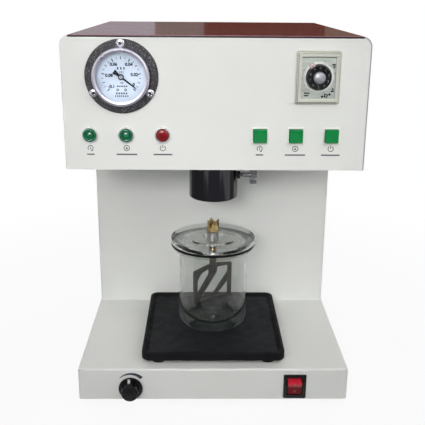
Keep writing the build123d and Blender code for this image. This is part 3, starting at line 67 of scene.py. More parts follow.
# Each corner C becomes the arc ((1-t)^2 A + 2w t(1-t) C + t^2 B) / ((1-t)^2 + 2w t(1-t) + t^2),
# where A and B are set back along its two sides and w is the sine of half the angle between
# them; one support point beyond each end, at most half the side away, keeps the flats flat.
def softened(corners, steps):
    table = np.array(corners, float)
    corner, setBack = table[:, None, :2], table[:, None, 2:]
    ends, supports, ways = [], [], []
    for turn in (1, -1):
        side = np.roll(corner, turn, axis=0) - corner
        length = np.maximum(np.linalg.norm(side, axis=2, keepdims=True), 1e-9)
        reach = np.minimum(setBack, length)
        support = np.minimum(rounding["support"] * setBack, rounding["share"] * length)
        ways.append(side / length)
        ends.append(corner + side / length * reach)
        supports.append(corner + side / length * np.maximum(reach, support))
    weight = np.sqrt((1 - (ways[0] * ways[1]).sum(2, keepdims=True)) / 2)
    t = np.linspace(0, 1, steps + 1)[None, :, None]
    start, middle, end = (1 - t) ** 2, 2 * weight * t * (1 - t), t ** 2
    arc = (start * ends[0] + middle * corner + end * ends[1]) / (start + middle + end)
    return np.concatenate([supports[0], arc, supports[1]], axis=1).reshape(-1, 2)


# Quads between neighbouring rows and columns; the columns close on themselves.
def gridFaces(rows, columns, loop=False):
    row = np.arange(rows if loop else rows - 1)[:, None]
    column = np.arange(columns)[None, :]
    nextRow, nextColumn = (row + 1) % rows, (column + 1) % columns
    corners = [row * columns + column, row * columns + nextColumn,
               nextRow * columns + nextColumn, nextRow * columns + column]
    return np.stack(corners, axis=-1).reshape(-1, 4)


# Rings of points joined one to the next, with one face across the first and one across the last.
def capped(rings):
    rows, columns = rings.shape[:2]
    ring = np.arange(columns)
    caps = [ring[None, ::-1], (ring + (rows - 1) * columns)[None]]
    return rings.reshape(-1, 3), [gridFaces(rows, columns)] + caps


def roundTurn(sides):
    return np.linspace(0, 2 * np.pi, sides, endpoint=False)[None, :]


# Point = (r cos a, r sin a, h): the profile (r, h) carried once round the axis by angle a,
# with r changed by the ripple where there is one.
def turned(corners, sides=96, steps=5, loop=False, ripple=None):
    profile = softened(corners, steps)
    radius, height = profile[:, :1], profile[:, 1:]
    angle = roundTurn(sides)
    if ripple:
        radius = ripple(radius, height, angle)
    points = np.stack([radius * np.cos(angle), radius * np.sin(angle), height + 0 * angle], -1)
    return points.reshape(-1, 3), [gridFaces(len(profile), sides, loop)]


# A hoop, or a disc where its inner radius is 0: the profile's corners run from inner low over
# outer low and outer high to inner high, each with its own set-back.
def hoop(radii, heights, setBacks, sides, steps):
    inner, outer = radii
    low, high = heights
    corners = zip((inner, outer, outer, inner), (low, low, high, high), setBacks)
    return turned(list(corners), sides, steps, inner > 0)


# Point = corner centre + r (cos a, sin a), r = corner radius + s: the profile (s, h) carried
# round a rounded rectangle, s outward, with s stretched by its own factor across and up.
def framed(corners, size, corner, steps=4, arcSteps=6, loop=False, stretch=(1, 1)):
    profile = softened(corners, steps)
    offset, height = profile[:, :1], profile[:, 1:]
    quarter = np.linspace(0, np.pi / 2, arcSteps + 1)
    angle = (quarter[None, :] + np.pi / 2 * np.arange(4)[:, None]).reshape(1, -1)
    signs = np.repeat(np.array([[1, 1], [-1, 1], [-1, -1], [1, -1]]), arcSteps + 1, axis=0)
    radius = np.maximum(corner + offset, rounding["leastCorner"])
    x = signs[:, 0] * (size[0] / 2 + offset * stretch[0] - radius) + radius * np.cos(angle)
    y = signs[:, 1] * (size[1] / 2 + offset * stretch[1] - radius) + radius * np.sin(angle)
    rings = np.stack([x, y, height + 0 * x], -1)
    return (rings.reshape(-1, 3), [gridFaces(*x.shape, loop)]) if loop else capped(rings)


# Point = (x, k p): the closed profile p carried along x, its size k a little less at both ends.
def carried(corners, halfWidth, edge, steps=4):
    profile = softened(corners, steps)
    lean = np.array([0, 0.3, 1])
    x = np.concatenate([-halfWidth + edge * lean, halfWidth - edge * lean[::-1]])
    size = 1 - edge * np.concatenate([1 - lean, 1 - lean[::-1]]) ** 2 / np.abs(profile).max()
    middle = profile.mean(0)
    ring = middle + (profile - middle) * size[:, None, None]
    return capped(np.concatenate([x[:, None, None] + 0 * ring[..., :1], ring], -1))


# Shares of a pan head's height (droop, depth) and of its radius (the cross's arm and reach,
# and the slopes at their edges).
crossCut = {"droop": 0.42, "depth": 0.55, "arm": 0.17, "armSlope": 0.05, "reach": 0.62, "reachSlope": 0.06}


# Height = H (1 - droop (r/R)^4) - depth H where the cross passes: a pan head over (r, a), with
# its foot and middle closed, and the shank (radius, length) under it.
def crossHead(radius, height, shank, rows=26, sides=64):
    part = np.linspace(0, 1, rows)[::-1, None]
    angle = roundTurn(sides)
    r = radius * part
    x, y = r * np.cos(angle), r * np.sin(angle)
    beside = crossCut["arm"] * radius - np.minimum(np.abs(x), np.abs(y))
    arm = np.clip(beside / (crossCut["armSlope"] * radius), 0, 1)
    within = np.clip((crossCut["reach"] * radius - r) / (crossCut["reachSlope"] * radius), 0, 1)
    top = height * (1 - crossCut["droop"] * part ** 4) - crossCut["depth"] * height * arm * within
    points = np.stack([x, y, top], -1)
    foot = points[:1] * np.array([1, 1, 0])
    points = np.concatenate([foot * 0, foot, points])
    stem = hoop((0, shank[0]), (-shank[1], 0.2), (0, 0.3, 0, 0), 20, 2)
    return joined((points.reshape(-1, 3), [gridFaces(rows + 2, sides)]), stem)


# Radius = R - depth |sawtooth(h / pitch - a / 2 pi)|: one groove that climbs round the rod.
def threaded(radius, start, end, pitch, depth, sides=28, rowsPerPitch=8):
    rows = int((end - start) / pitch * rowsPerPitch) + 1
    height = np.linspace(start, end, rows)[:, None]
    angle = roundTurn(sides)
    phase = (height / pitch - angle / (2 * np.pi)) % 1
    r = radius - depth * np.abs(2 * phase - 1)
    points = np.stack([r * np.cos(angle), r * np.sin(angle), height + 0 * angle], -1)
    caps = np.array([[0, 0, start], [0, 0, end]]) + np.zeros((sides, 1, 3))
    points = np.concatenate([caps[None, :, 0], points, caps[None, :, 1]])
    return points.reshape(-1, 3), [gridFaces(rows + 2, sides)]


# Each mark is a bar (along the radius, across it, up): corners at r0 or r1, +-w/2 and low or high.
def markRing(angles, inner, outer, width, low, high):
    angle = np.radians(np.asarray(angles, float))[:, None]
    inner, outer, width = [np.broadcast_to(np.asarray(v, float), angle[:, 0].shape)[:, None]
                           for v in (inner, outer, width)]
    along = np.where(np.array([0, 0, 1, 1, 0, 0, 1, 1]) == 1, outer, inner)
    across = np.array([-0.5, 0.5, 0.5, -0.5] * 2) * width
    up = np.array([low] * 4 + [high] * 4) + 0 * along
    x = along * np.sin(angle) + across * np.cos(angle)
    y = along * np.cos(angle) - across * np.sin(angle)
    box = np.array([(0, 3, 2, 1), (4, 5, 6, 7), (0, 1, 5, 4), (1, 2, 6, 5), (2, 3, 7, 6), (3, 0, 4, 7)])
    faces = (box[None] + 8 * np.arange(len(angle))[:, None, None]).reshape(-1, 4)
    return np.stack([x, y, up], -1).reshape(-1, 3), [faces]


def linked(name, data):
    thing = bpy.data.objects.new(name, data)
    bpy.context.scene.collection.objects.link(thing)
    return thing


# The mesh that a flat curve or a line of text gives, as points and faces.
def fromCurve(curve):
    holder = linked("outline", curve)
    seen = holder.evaluated_get(bpy.context.evaluated_depsgraph_get())
    mesh = bpy.data.meshes.new_from_object(seen)
    points = np.empty(len(mesh.vertices) * 3)
    mesh.vertices.foreach_get("co", points)
    blocks = [np.array([face.vertices[:]]) for face in mesh.polygons]
    bpy.data.objects.remove(holder)
    bpy.data.curves.remove(curve)
    bpy.data.meshes.remove(mesh)
    return points.reshape(-1, 3), blocks


# Filled outline, thickened both ways from height 0, its edges rounded by the curve's bevel.
def cutOut(loops, thickness, edge=0.0):
    curve = bpy.data.curves.new("outline", "CURVE")
    curve.dimensions = "2D"
    curve.fill_mode = "BOTH"
    curve.extrude = thickness / 2 - edge
    curve.bevel_depth = edge
    curve.bevel_resolution = 1
    curve.offset = -edge
    for loop in loops:
        spline = curve.splines.new("POLY")
        spline.points.add(len(loop) - 1)
        flat = np.concatenate([loop, np.zeros((len(loop), 1)), np.ones((len(loop), 1))], 1)
        spline.points.foreach_set("co", flat.ravel())
        spline.use_cyclic_u = True
    return fromCurve(curve)


def barLoop(width, height, x=0.0, y=0.0):
    return np.array([[-1, -1], [1, -1], [1, 1], [-1, 1]]) * [width / 2, height / 2] + [x, y]


# Raised lettering of a given height and boldness, centred on its place.
def lettering(text, size, thickness, bold=0.0):
    curve = bpy.data.curves.new("outline", "FONT")
    curve.body = text
    curve.size = size
    curve.align_x = "CENTER"
    curve.align_y = "CENTER"
    curve.extrude = thickness / 2
    curve.offset = bold
    curve.resolution_u = 3
    return fromCurve(curve)


# Loop = (r sin a, r cos a) out along one radius and back along the other, a clockwise from up.
def arcBand(inner, outer, start, end, steps=24):
    angle = np.radians(np.linspace(start, end, steps + 1))
    way = np.stack([np.sin(angle), np.cos(angle)], -1)
    inner, outer = [np.broadcast_to(np.asarray(v, float), angle.shape)[:, None] for v in (inner, outer)]
    return np.concatenate([way * outer, (way * inner)[::-1]])


def joined(*shapes):
    counts = np.cumsum([0] + [len(points) for points, blocks in shapes])
    blocks = [block + first for first, shape in zip(counts, shapes) for block in shape[1]]
    return np.concatenate([points for points, blocks in shapes]), blocks


def cosSin(degrees):
    return math.cos(math.radians(degrees)), math.sin(math.radians(degrees))


# Point = centre + x X + y Y + h H, with x and y first turned clockwise as seen from its front.
def placed(shape, centre, facing="up", turn=0):
    points, blocks = shape
    c, s = cosSin(turn)
    spun = points @ np.array([[c, -s, 0], [s, c, 0], [0, 0, 1]])
    axes = facings[facing] if isinstance(facing, str) else facing
    return spun @ np.array(axes, float) + np.array(centre, float), blocks


def repeated(shape, seats):
    return joined(*[placed(shape, *seat) for seat in seats])


# Seats on the front panel and the rear cover, across and up from the middle line and the bench,
# and on the drive's upright axis.
def ahead(x, z, out=0.0):
    return (x, machine["front"] - out, z), "front"


def behind(x, z, turn=0):
    return (x, machine["rear"], z), "back", turn


def onAxis(z=0, facing="up"):
    return (0, machine["driveY"], z), facing


bench = ((0, 0, 0), "up")


# Prints: each outline (loops, x, y, turn) cut out of a film whose middle lies at one height.
def printed(outlines, height, thickness=film):
    return joined(*[placed(cutOut(loops, thickness), (x, y, height), "up", turn)
                    for loops, x, y, turn in outlines])


# The shape set on its seat, its doubles merged, faces at an open edge (where two roundings
# overlap) taken off and all faces turned outward, riding on its body.
def built(name, shape, seat, slot, *nodes, body="chassis", finish=None, sharp=38):
    points, blocks = placed(shape, *seat)
    mesh = bpy.data.meshes.new(name)
    faces = [face for block in blocks for face in block.tolist()]
    mesh.from_pydata((points * millimetre).tolist(), [], faces)
    form = bmesh.new()
    form.from_mesh(mesh)
    bmesh.ops.remove_doubles(form, verts=form.verts, dist=mergeDistance)
    bmesh.ops.dissolve_degenerate(form, edges=form.edges, dist=mergeDistance / 10)
    stray = [face for face in form.faces if any(edge.is_boundary for edge in face.edges)]
    bmesh.ops.delete(form, geom=stray, context="FACES")
    bmesh.ops.recalc_face_normals(form, faces=form.faces)
    form.to_mesh(mesh)
    form.free()
    mesh.shade_smooth()
    mesh.set_sharp_from_angle(angle=math.radians(sharp))
    mesh.materials.append(finishes[finish or slot])
    piece = linked(name, mesh)
    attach(piece, body)
    if nodes:
        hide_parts(*nodes)


# Linear value of a colour given as it looks, 0 to 255: v/12.92 when dark, else ((v+0.055)/1.055)^2.4.
def linear(colour):
    value = np.array(colour, float) / 255
    value = np.where(value <= 0.04045, value / 12.92, ((value + 0.055) / 1.055) ** 2.4)
    return (*value.tolist(), 1.0)


def addNode(tree, kind, inputs=None, **settings):
    node = tree.nodes.new(kind)
    for key, value in settings.items():
        setattr(node, key, value)
    for key, value in (inputs or {}).items():
        if isinstance(value, bpy.types.NodeSocket):
            tree.links.new(value, node.inputs[key])
        else:
            node.inputs[key].default_value = value
    return node


def objectPlace(tree):
    return addNode(tree, "ShaderNodeTexCoord").outputs["Object"]


# Where the noise of the patches and of the wear counts as one or the other end, how wide a speck's
# edge is, and how much detail each noise has.
mottle = {"patch": (0.32, 0.68), "wear": (0.3, 0.7), "speckEdge": 0.06, "broken": 0.55,
          "patchDetail": 3.0, "speckDetail": 1.0, "wearDetail": 4.0, "grainDetail": 2.0}


# Noise over the object's own coordinates, stretched by a frequency per metre along each axis.
def noise(tree, frequency, detail=mottle["patchDetail"]):
    scale = frequency if isinstance(frequency, tuple) else (frequency,) * 3
    mapped = addNode(tree, "ShaderNodeMapping", {"Vector": objectPlace(tree), "Scale": scale})
    inputs = {"Vector": mapped.outputs["Vector"], "Scale": 1.0, "Detail": detail,
              "Roughness": mottle["broken"]}
    return addNode(tree, "ShaderNodeTexNoise", inputs).outputs["Fac"]


# Distance to the nearest of many scattered points, for pits, cells and spangles.
def cells(tree, frequency, output="Distance"):
    inputs = {"Vector": objectPlace(tree), "Scale": float(frequency)}
    return addNode(tree, "ShaderNodeTexVoronoi", inputs).outputs[output]


def ranged(tree, value, low, high, outLow, outHigh):
    inputs = {"Value": value, "From Min": low, "From Max": high, "To Min": outLow, "To Max": outHigh}
    return addNode(tree, "ShaderNodeMapRange", inputs).outputs["Result"]


def blended(tree, factor, first, second):
    return addNode(tree, "ShaderNodeMix", {0: factor, 6: first, 7: second}, data_type="RGBA").outputs[2]


# Surface = the first shader where the share is 0, the second where it is 1.
def mixedSurface(tree, share, first, second, output="Material Output"):
    mix = addNode(tree, "ShaderNodeMixShader", {0: share, 1: first, 2: second})
    tree.links.new(mix.outputs[0], tree.nodes[output].inputs["Surface"])


# Colour = light to dark by patches of noise, then the speck colour where fine noise passes its
# threshold; roughness = low to high by other noise; height = depth times the grain's noise or cells.
def finishOf(name, light, dark, patch, rough, grain, extras=None):
    extras = extras or {}
    material = bpy.data.materials.new(name)
    material.use_nodes = True
    tree = material.node_tree
    shader = tree.nodes["Principled BSDF"]
    if "spangle" in extras:
        share = cells(tree, extras["spangle"], "Color")
    else:
        share = ranged(tree, noise(tree, patch), *mottle["patch"], 0.0, 1.0)
    colour = blended(tree, share, linear(light), linear(dark))
    if "speck" in extras:
        tint, frequency, threshold = extras["speck"]
        speckle = noise(tree, frequency, mottle["speckDetail"])
        spot = ranged(tree, speckle, threshold, threshold + mottle["speckEdge"], 0.0, 1.0)
        colour = blended(tree, spot, colour, linear(tint))
    # Painted shade: a darker tone under a height, on the rocker's lower face and the bowl's foot.
    if "below" in extras:  # another tone under a height
        level, blur, tint = extras["below"]
        height = addNode(tree, "ShaderNodeSeparateXYZ", {0: objectPlace(tree)}).outputs["Z"]
        under = ranged(tree, height, level - blur, level + blur, 1.0, 0.0)
        colour = blended(tree, under, colour, linear(tint))
    tree.links.new(colour, shader.inputs["Base Color"])
    low, high, frequency = rough
    wear = ranged(tree, noise(tree, frequency, mottle["wearDetail"]), *mottle["wear"], low, high)
    tree.links.new(wear, shader.inputs["Roughness"])
    kind, frequency, depth = grain
    pattern = cells(tree, frequency) if kind == "cells" else noise(tree, frequency, mottle["grainDetail"])
    bump = addNode(tree, "ShaderNodeBump", {"Height": pattern, "Distance": depth * millimetre})
    tree.links.new(bump.outputs["Normal"], shader.inputs["Normal"])
    for socket, value in extras.get("sockets", {}).items():
        shader.inputs[socket].default_value = value
    if "clear" in extras:  # lamps reach what stands behind it
        path = addNode(tree, "ShaderNodeLightPath").outputs["Is Shadow Ray"]
        passed = addNode(tree, "ShaderNodeBsdfTransparent", {"Color": linear(extras["clear"])})
        mixedSurface(tree, path, shader.outputs["BSDF"], passed.outputs["BSDF"])
    return material


def matt(level):
    return {"sockets": {"Specular IOR Level": level}}


metal = {"sockets": {"Metallic": 1.0}}
rubber = (26.0, (0.5, 0.72, 90.0), ("noise", 1300.0, 0.03))
ink = (300.0, (0.45, 0.6, 600.0), ("noise", 2500.0, 0.006))
sealing = (120.0, (0.45, 0.65, 300.0), ("noise", 1500.0, 0.02))
trim = ((0.3, 0.45, 300.0), ("noise", 900.0, 0.01))
lensLook = (260.0, (0.08, 0.2, 400.0), ("cells", 900.0, 0.05),
            {"sockets": {"Transmission Weight": 0.15, "IOR": 1.4, "Coat Weight": 0.4}})


# The clear moulded plastic, at its own bending of light, greyer near the tray: painted shade of the
# dark tray seen through its thick foot.
def moulded(ior):
    coated = {"Transmission Weight": 1.0, "IOR": ior, "Coat Weight": 0.75, "Coat Roughness": 0.02}
    extras = {"below": (0.073, 0.003, (172, 182, 178)), "clear": (240, 243, 243), "sockets": coated}
    return (240, 240, 239), (233, 234, 232), 40.0, (0.0, 0.035, 250.0), ("noise", 120.0, 0.012), extras


# Each look: light and dark tone, the patches' frequency, roughness (low, high, frequency), grain
# (kind, frequency, depth), and what only some have: specks (tone, frequency, threshold), painted
# shade under a height (height, blur, tone), spangles, a see-through tone, the shader's own sockets.
looks = {
    "white_paint": ((236, 237, 233), (231, 232, 228), 9.0, (0.34, 0.5, 40.0), ("noise", 850.0, 0.012),
                    {"speck": ((205, 205, 200), 420.0, 0.79)}),
    "red_paint": ((128, 20, 26), (112, 15, 21), 12.0, (0.12, 0.22, 60.0), ("noise", 700.0, 0.01),
                  {"speck": ((150, 60, 60), 500.0, 0.8),
                   "sockets": {"Coat Weight": 0.5, "Coat Roughness": 0.08}}),
    "steel": ((150, 149, 140), (122, 121, 112), (60.0, 60.0, 25.0), (0.28, 0.42, (400.0, 400.0, 30.0)),
              ("noise", (300.0, 300.0, 3000.0), 0.006), {"speck": ((90, 88, 80), 700.0, 0.74), **metal}),
    "bladeSteel": ((66, 64, 55), (38, 37, 31), (70.0, 70.0, 40.0), (0.3, 0.5, (200.0, 200.0, 60.0)),
                   ("noise", (500.0, 500.0, 1600.0), 0.012),
                   {"speck": ((150, 150, 140), 600.0, 0.74), **metal}),
    "zinc": ((176, 180, 184), (140, 145, 150), 30.0, (0.3, 0.48, 160.0), ("cells", 90.0, 0.01),
             {"spangle": 90.0, **metal}),
    "chrome": ((214, 214, 218), (196, 197, 203), 120.0, (0.05, 0.14, 500.0), ("noise", 900.0, 0.003),
               {"speck": ((150, 150, 155), 1500.0, 0.78), **metal}),
    "clampSteel": ((180, 180, 184), (152, 152, 156), 120.0, (0.08, 0.18, 300.0), ("noise", 700.0, 0.002),
                   {"speck": ((96, 96, 100), 1500.0, 0.78), **metal}),
    "bezelChrome": ((206, 204, 216), (188, 186, 200), 40.0, (0.26, 0.33, 120.0), ("noise", 300.0, 0.0006),
                    metal),
    "black_metal": ((50, 47, 51), (24, 22, 26), 260.0, (0.28, 0.5, 500.0), ("noise", 950.0, 0.09),
                    {"speck": ((128, 128, 134), 900.0, 0.62), **matt(0.4)}),
    "dark_chrome": ((70, 70, 73), (58, 59, 61), (60.0, 60.0, 8.0), (0.06, 0.13, (500.0, 500.0, 30.0)),
                    ("noise", (40.0, 40.0, 2600.0), 0.002), metal),
    "black_rubber": ((36, 37, 40), (28, 29, 32), *rubber,
                     {"speck": ((70, 70, 72), 900.0, 0.76), **matt(0.12)}),
    "rimRubber": ((24, 24, 27), (16, 16, 18), *rubber, {"speck": ((58, 58, 60), 900.0, 0.76), **matt(0.12)}),
    "black_plastic": ((12, 11, 15), (6, 6, 8), 60.0, (0.16, 0.32, 260.0), ("noise", 1600.0, 0.02),
                      matt(0.28)),
    "grey_plastic": ((120, 122, 125), (104, 106, 110), 60.0, (0.4, 0.55, 260.0), ("noise", 1600.0, 0.03)),
    "beige_plastic": ((215, 216, 205), (207, 208, 196), 45.0, (0.36, 0.5, 260.0), ("noise", 1800.0, 0.025),
                      {"speck": ((180, 178, 160), 900.0, 0.78)}),
    "silver_plastic": ((192, 197, 189), (168, 176, 168), (60.0, 60.0, 300.0),
                       (0.34, 0.5, (200.0, 200.0, 900.0)), ("noise", 2400.0, 0.01),
                       {"sockets": {"Metallic": 0.35}}),
    "capSilver": ((176, 178, 182), (150, 152, 158), 200.0, (0.34, 0.48, 500.0), ("noise", 2000.0, 0.008),
                  {"sockets": {"Metallic": 0.8}}),
    "dial_white": ((184, 192, 209), (177, 186, 203), 70.0, (0.45, 0.6, 300.0), ("noise", 2500.0, 0.008),
                   {"speck": ((198, 210, 222), 900.0, 0.8)}),
    "pointer_black": ((20, 21, 26), (13, 14, 18), 300.0, (0.55, 0.7, 600.0), ("noise", 2500.0, 0.01),
                      matt(0.12)),
    "printGrey": ((96, 98, 100), (80, 82, 84), 400.0, *ink[1:]),
    "printBlue": ((50, 58, 80), (38, 46, 66), *ink),
    "printWhite": ((232, 232, 230), (218, 218, 216), *ink),
    # The darker beige of the timer's step lines: painted shade.
    "stepShade": ((146, 142, 132), (130, 126, 116), *ink),
    "markPink": ((176, 92, 104), (150, 74, 86), *ink),
    "clear_glass": ((250, 252, 252), (246, 249, 250), 60.0, (0.0, 0.02, 300.0), ("noise", 200.0, 0.001),
                    {"clear": (250, 252, 252), "sockets": {"Transmission Weight": 1.0, "IOR": 1.15}}),
    "clear_plastic": moulded(1.08),
    "bowlClear": moulded(1.045),
    "tabClear": ((240, 226, 228), (232, 210, 214), 300.0, (0.1, 0.25, 500.0), ("noise", 900.0, 0.01),
                 {"clear": (240, 225, 228), "sockets": {"Transmission Weight": 0.5, "IOR": 1.4}}),
    "green_lens": ((14, 130, 86), (5, 92, 56), *lensLook),
    "red_lens": ((164, 8, 28), (120, 4, 16), *lensLook),
    "green_plastic": ((4, 138, 70), (2, 127, 60), 120.0, (0.35, 0.5, 300.0), ("noise", 1800.0, 0.02),
                      matt(0.25)),
    # The rocker's lower face is darker under its pivot height: painted shade.
    "red_plastic": ((228, 50, 72), (210, 38, 58), 120.0, (0.16, 0.3, 300.0), ("noise", 1500.0, 0.01),
                    {"below": (0.0256, 0.0003, (104, 12, 20)), **matt(0.2)}),
    "white_plastic": ((238, 238, 234), (229, 229, 225), 90.0, (0.3, 0.45, 300.0), ("noise", 1800.0, 0.02)),
    "brass": ((214, 190, 140), (176, 150, 98), 260.0, (0.1, 0.22, 500.0), ("noise", 1200.0, 0.012),
              {"speck": ((110, 90, 48), 900.0, 0.68), **metal}),
    "gasketGrey": ((136, 137, 139), (116, 117, 119), *sealing),
    "gasketBlack": ((16, 16, 18), (10, 10, 12), *sealing, matt(0.12)),
    "lampRing": ((222, 226, 226), (200, 205, 206), 300.0, (0.3, 0.45, 600.0), ("noise", 2500.0, 0.004),
                 {"sockets": {"Metallic": 0.3}}),
    "hubGrey": ((156, 160, 168), (128, 132, 140), 300.0, (0.3, 0.45, 600.0), ("noise", 2500.0, 0.006)),
    # The dark band at the hood's front edge: painted shadow of the gap under the edge and its shaded face.
    "lipShade": ((34, 10, 26), (24, 6, 18), 60.0, *trim, matt(0.3)),
    # The pink band on the hood's front bend: a painted highlight.
    "lipGlint": ((172, 124, 134), (146, 98, 108), 60.0, *trim),
    # The grey strip down the head's right side: painted shade on the white paint.
    "edgePaintedShade": ((172, 172, 174), (156, 156, 159), 60.0, (0.35, 0.5, 300.0), ("noise", 900.0, 0.01)),
    "bushNickel": ((150, 150, 148), (118, 118, 115), 200.0, (0.25, 0.4, 400.0), ("cells", 2200.0, 0.02),
                   {"speck": ((80, 80, 78), 1400.0, 0.72), **metal}),
    "aluminium": ((190, 192, 194), (166, 168, 171), 50.0, (0.34, 0.5, 200.0), ("noise", 1100.0, 0.04),
                  metal),
    "copper_coil": ((190, 112, 70), (150, 82, 50), 90.0, (0.25, 0.4, 300.0),
                    ("noise", (60.0, 60.0, 1800.0), 0.15), metal),
    "board_green": ((26, 92, 58), (18, 74, 46), 220.0, (0.3, 0.45, 300.0), ("cells", 500.0, 0.05),
                    {"speck": ((190, 180, 120), 420.0, 0.72)}),
}
finishes = {name: finishOf(name, *look) for name, look in looks.items()}
print("finishes made,", len(finishes))

slotOf = {entry["node"]: entry["material_slot"] for entry in frame["record"]["subparts"]}
for nodeName, node in frame["nodes"].items():
    for place in node.material_slots:
        place.material = finishes[slotOf[nodeName]]
print("frame nodes finished")


# Vacuum gauge: flange and case, bezel, glass, dial with its scale, pointer and three screws.
gauge = {"x": -97.5, "z": 389.0, "flange": 38.0, "thick": 3.0, "body": 29.0, "deep": 28.0, "lip": 27.8,
         "bore": 26.6, "lipHigh": 9.0, "bezel": 29.6, "bezelHigh": 13.0, "bezelInner": 25.4, "glass": 27.7,
         "dialHigh": 4.0, "screwCircle": 33.8, "screwHead": (4.2, 2.0), "screwShank": (1.6, 10),
         "screwTurns": {90: 12, 210: 40, 330: -25}, "crossHigh": 2.02}
gaugeSeat = ahead(gauge["x"], gauge["z"])
gaugeCase = turned([
    (0, -54, 0), (2.6, -54, 0.3), (2.6, -42, 0.3), (5, -42, 0.5), (5, -gauge["deep"], 0.4),
    (gauge["body"], -gauge["deep"], 1.5), (gauge["body"], 0, 0.1), (gauge["flange"], 0, 0.1),
    (gauge["flange"], gauge["thick"], 1.2), (gauge["lip"] + 3, gauge["thick"], 0.4),
    (gauge["lip"], gauge["thick"] - 0.4, 0.1), (gauge["lip"], gauge["lipHigh"], 0.2),
    (gauge["bore"], gauge["lipHigh"], 0.2), (gauge["bore"], 3, 0.1), (0, 3, 0)], 128)
built("gaugeCase", gaugeCase, gaugeSeat, "black_metal", "gauge_case")
gaugeBezel = turned([
    (gauge["lip"], 3, 0.1), (gauge["bezel"], 3, 0.3), (gauge["bezel"], gauge["bezelHigh"], 2.2),
    (27.4, gauge["bezelHigh"], 0.5), (26.6, 12.5, 0.3), (gauge["bezelInner"], 12.3, 0.15),
    (gauge["bezelInner"], 12, 0.1), (gauge["lip"], 12, 0.1)], 160, 6, True)
built("gaugeBezel", gaugeBezel, gaugeSeat, "chrome", "gauge_bezel", finish="bezelChrome")
gaugeGlass = turned([(0, 10, 0), (gauge["glass"], 10, 0.2), (gauge["glass"], 12, 0.2), (25.0, 12, 1.5),
                     (12, 12.45, 5), (0, 12.6, 0)], 128, 6)
built("gaugeGlass", gaugeGlass, gaugeSeat, "clear_glass", "gauge_lens")
gaugeDial = hoop((0, 26.5), (3.05, gauge["dialHigh"]), (0, 0.1, 0.2, 0), 128, 5)
built("gaugeDial", gaugeDial, gaugeSeat, "dial_white", "gauge_dial")
# Small bars on the dial, row by row: how many, the row's middle, height, pitch, bar width and height.
scaleRows = [(3, 0, 8.6, 3.2, 1.3, 2.4), (3, 0.5, 5.0, 1.6, 0.9, 1.2), (2, 0.5, -6.2, 1.6, 1.0, 1.3),
             (6, 0.6, -9.6, 1.9, 1.2, 1.5), (5, 0, -16.8, 2.5, 1.5, 1.7), (7, 0, -19.6, 2.1, 1.3, 1.4)]
scale = {"first": 135.0, "step": 13.5, "marks": 21, "outer": 20.3, "lengths": (3.2, 2.6, 2.0),
         "widths": (0.95, 0.75, 0.55), "numberSize": 4.4, "bold": 0.22,
         "numbers": [("0", 12.6, -7.9), ("0.02", 13.5, 2.2), ("0.04", 8.2, 12.5), ("0.06", -7.4, 12.5),
                     ("0.08", -12.4, 1.3), ("-0.1", -10.1, -9.9)],
         "rings": [(-4.0, -13.2), (4.2, -13.2)]}
mark = np.arange(scale["marks"])
rank = np.where(mark % 4 == 0, 0, np.where(mark % 2 == 0, 1, 2))  # every fourth mark is long
lengths, widths = np.array(scale["lengths"])[rank], np.array(scale["widths"])[rank]
scaleMarks = markRing(scale["first"] - scale["step"] * mark, scale["outer"] - lengths, scale["outer"], widths,
                      gauge["dialHigh"], gauge["dialHigh"] + film)
printHigh = gauge["dialHigh"] + film / 2
numbers = [placed(lettering(text, scale["numberSize"], film, scale["bold"]), (x, y, printHigh))
           for text, x, y in scale["numbers"]]
dialPrints = [([barLoop(width, high)], x, y, 0) for count, middle, y, pitch, width, high in scaleRows
              for x in middle + pitch * (np.arange(count) - (count - 1) / 2)]
dialPrints += [([arcBand(0.6, 1.3, 0, 359, 20)], x, y, 0) for x, y in scale["rings"]]
scaleShapes = joined(scaleMarks, *numbers, printed(dialPrints, printHigh))
built("gaugeScale", scaleShapes, gaugeSeat, "pointer_black")
pointer = {"length": 20.2, "tail": 9.2, "half": 0.8, "tailHalf": 2.6, "back": 5.6, "thick": 0.8,
           "rest": 128.0}
pointerSide = [(0.55, 18.4, 0.5), (pointer["half"], 10.0, 1.0), (0.9, 0.0, 0.8), (1.1, -2.8, 0.8),
               (pointer["tailHalf"], -pointer["tail"], 0.5)]
pointerLoop = softened([(0, pointer["length"], 0)] + pointerSide
                       + [(-x, y, setBack) for x, y, setBack in pointerSide[::-1]], 3)
pointerBlade = placed(cutOut([pointerLoop], pointer["thick"], 0.12),
                      (0, 0, pointer["back"] + pointer["thick"] / 2))
pointerPin = hoop((0, 0.7), (-2, 5.7), (0, 0.1, 0, 0), 20, 2)
needle = {"body": "gauge_needle"}
built("gaugePointer", joined(pointerBlade, pointerPin), (*gaugeSeat, pointer["rest"]), "pointer_black",
      "gauge_pointer", **needle)
hubRim = hoop((1.92, 3.0), (5.3, 7.0), (0.05, 0.2, 0.3, 0.05), 48, 2)
built("gaugeHubRim", hubRim, gaugeSeat, "pointer_black", **needle)
pointerHub = turned([(0, 5.3, 0), (1.9, 5.3, 0.2), (1.9, 7.25, 0.4), (1.3, 7.25, 0.2), (1.1, 6.9, 0.1),
                     (0, 6.9, 0)], 48)
built("gaugeHub", pointerHub, gaugeSeat, "steel", finish="hubGrey", **needle)
screwSpots = [np.array([*cosSin(way), 0]) * gauge["screwCircle"] + [0, 0, gauge["thick"]]
              for way in gauge["screwTurns"]]
gaugeScrews = repeated(crossHead(*gauge["screwHead"], gauge["screwShank"]),
                       [(spot, "up", turn) for spot, turn in zip(screwSpots, gauge["screwTurns"].values())])
built("gaugeScrews", gaugeScrews, gaugeSeat, "chrome", "gauge_screws")
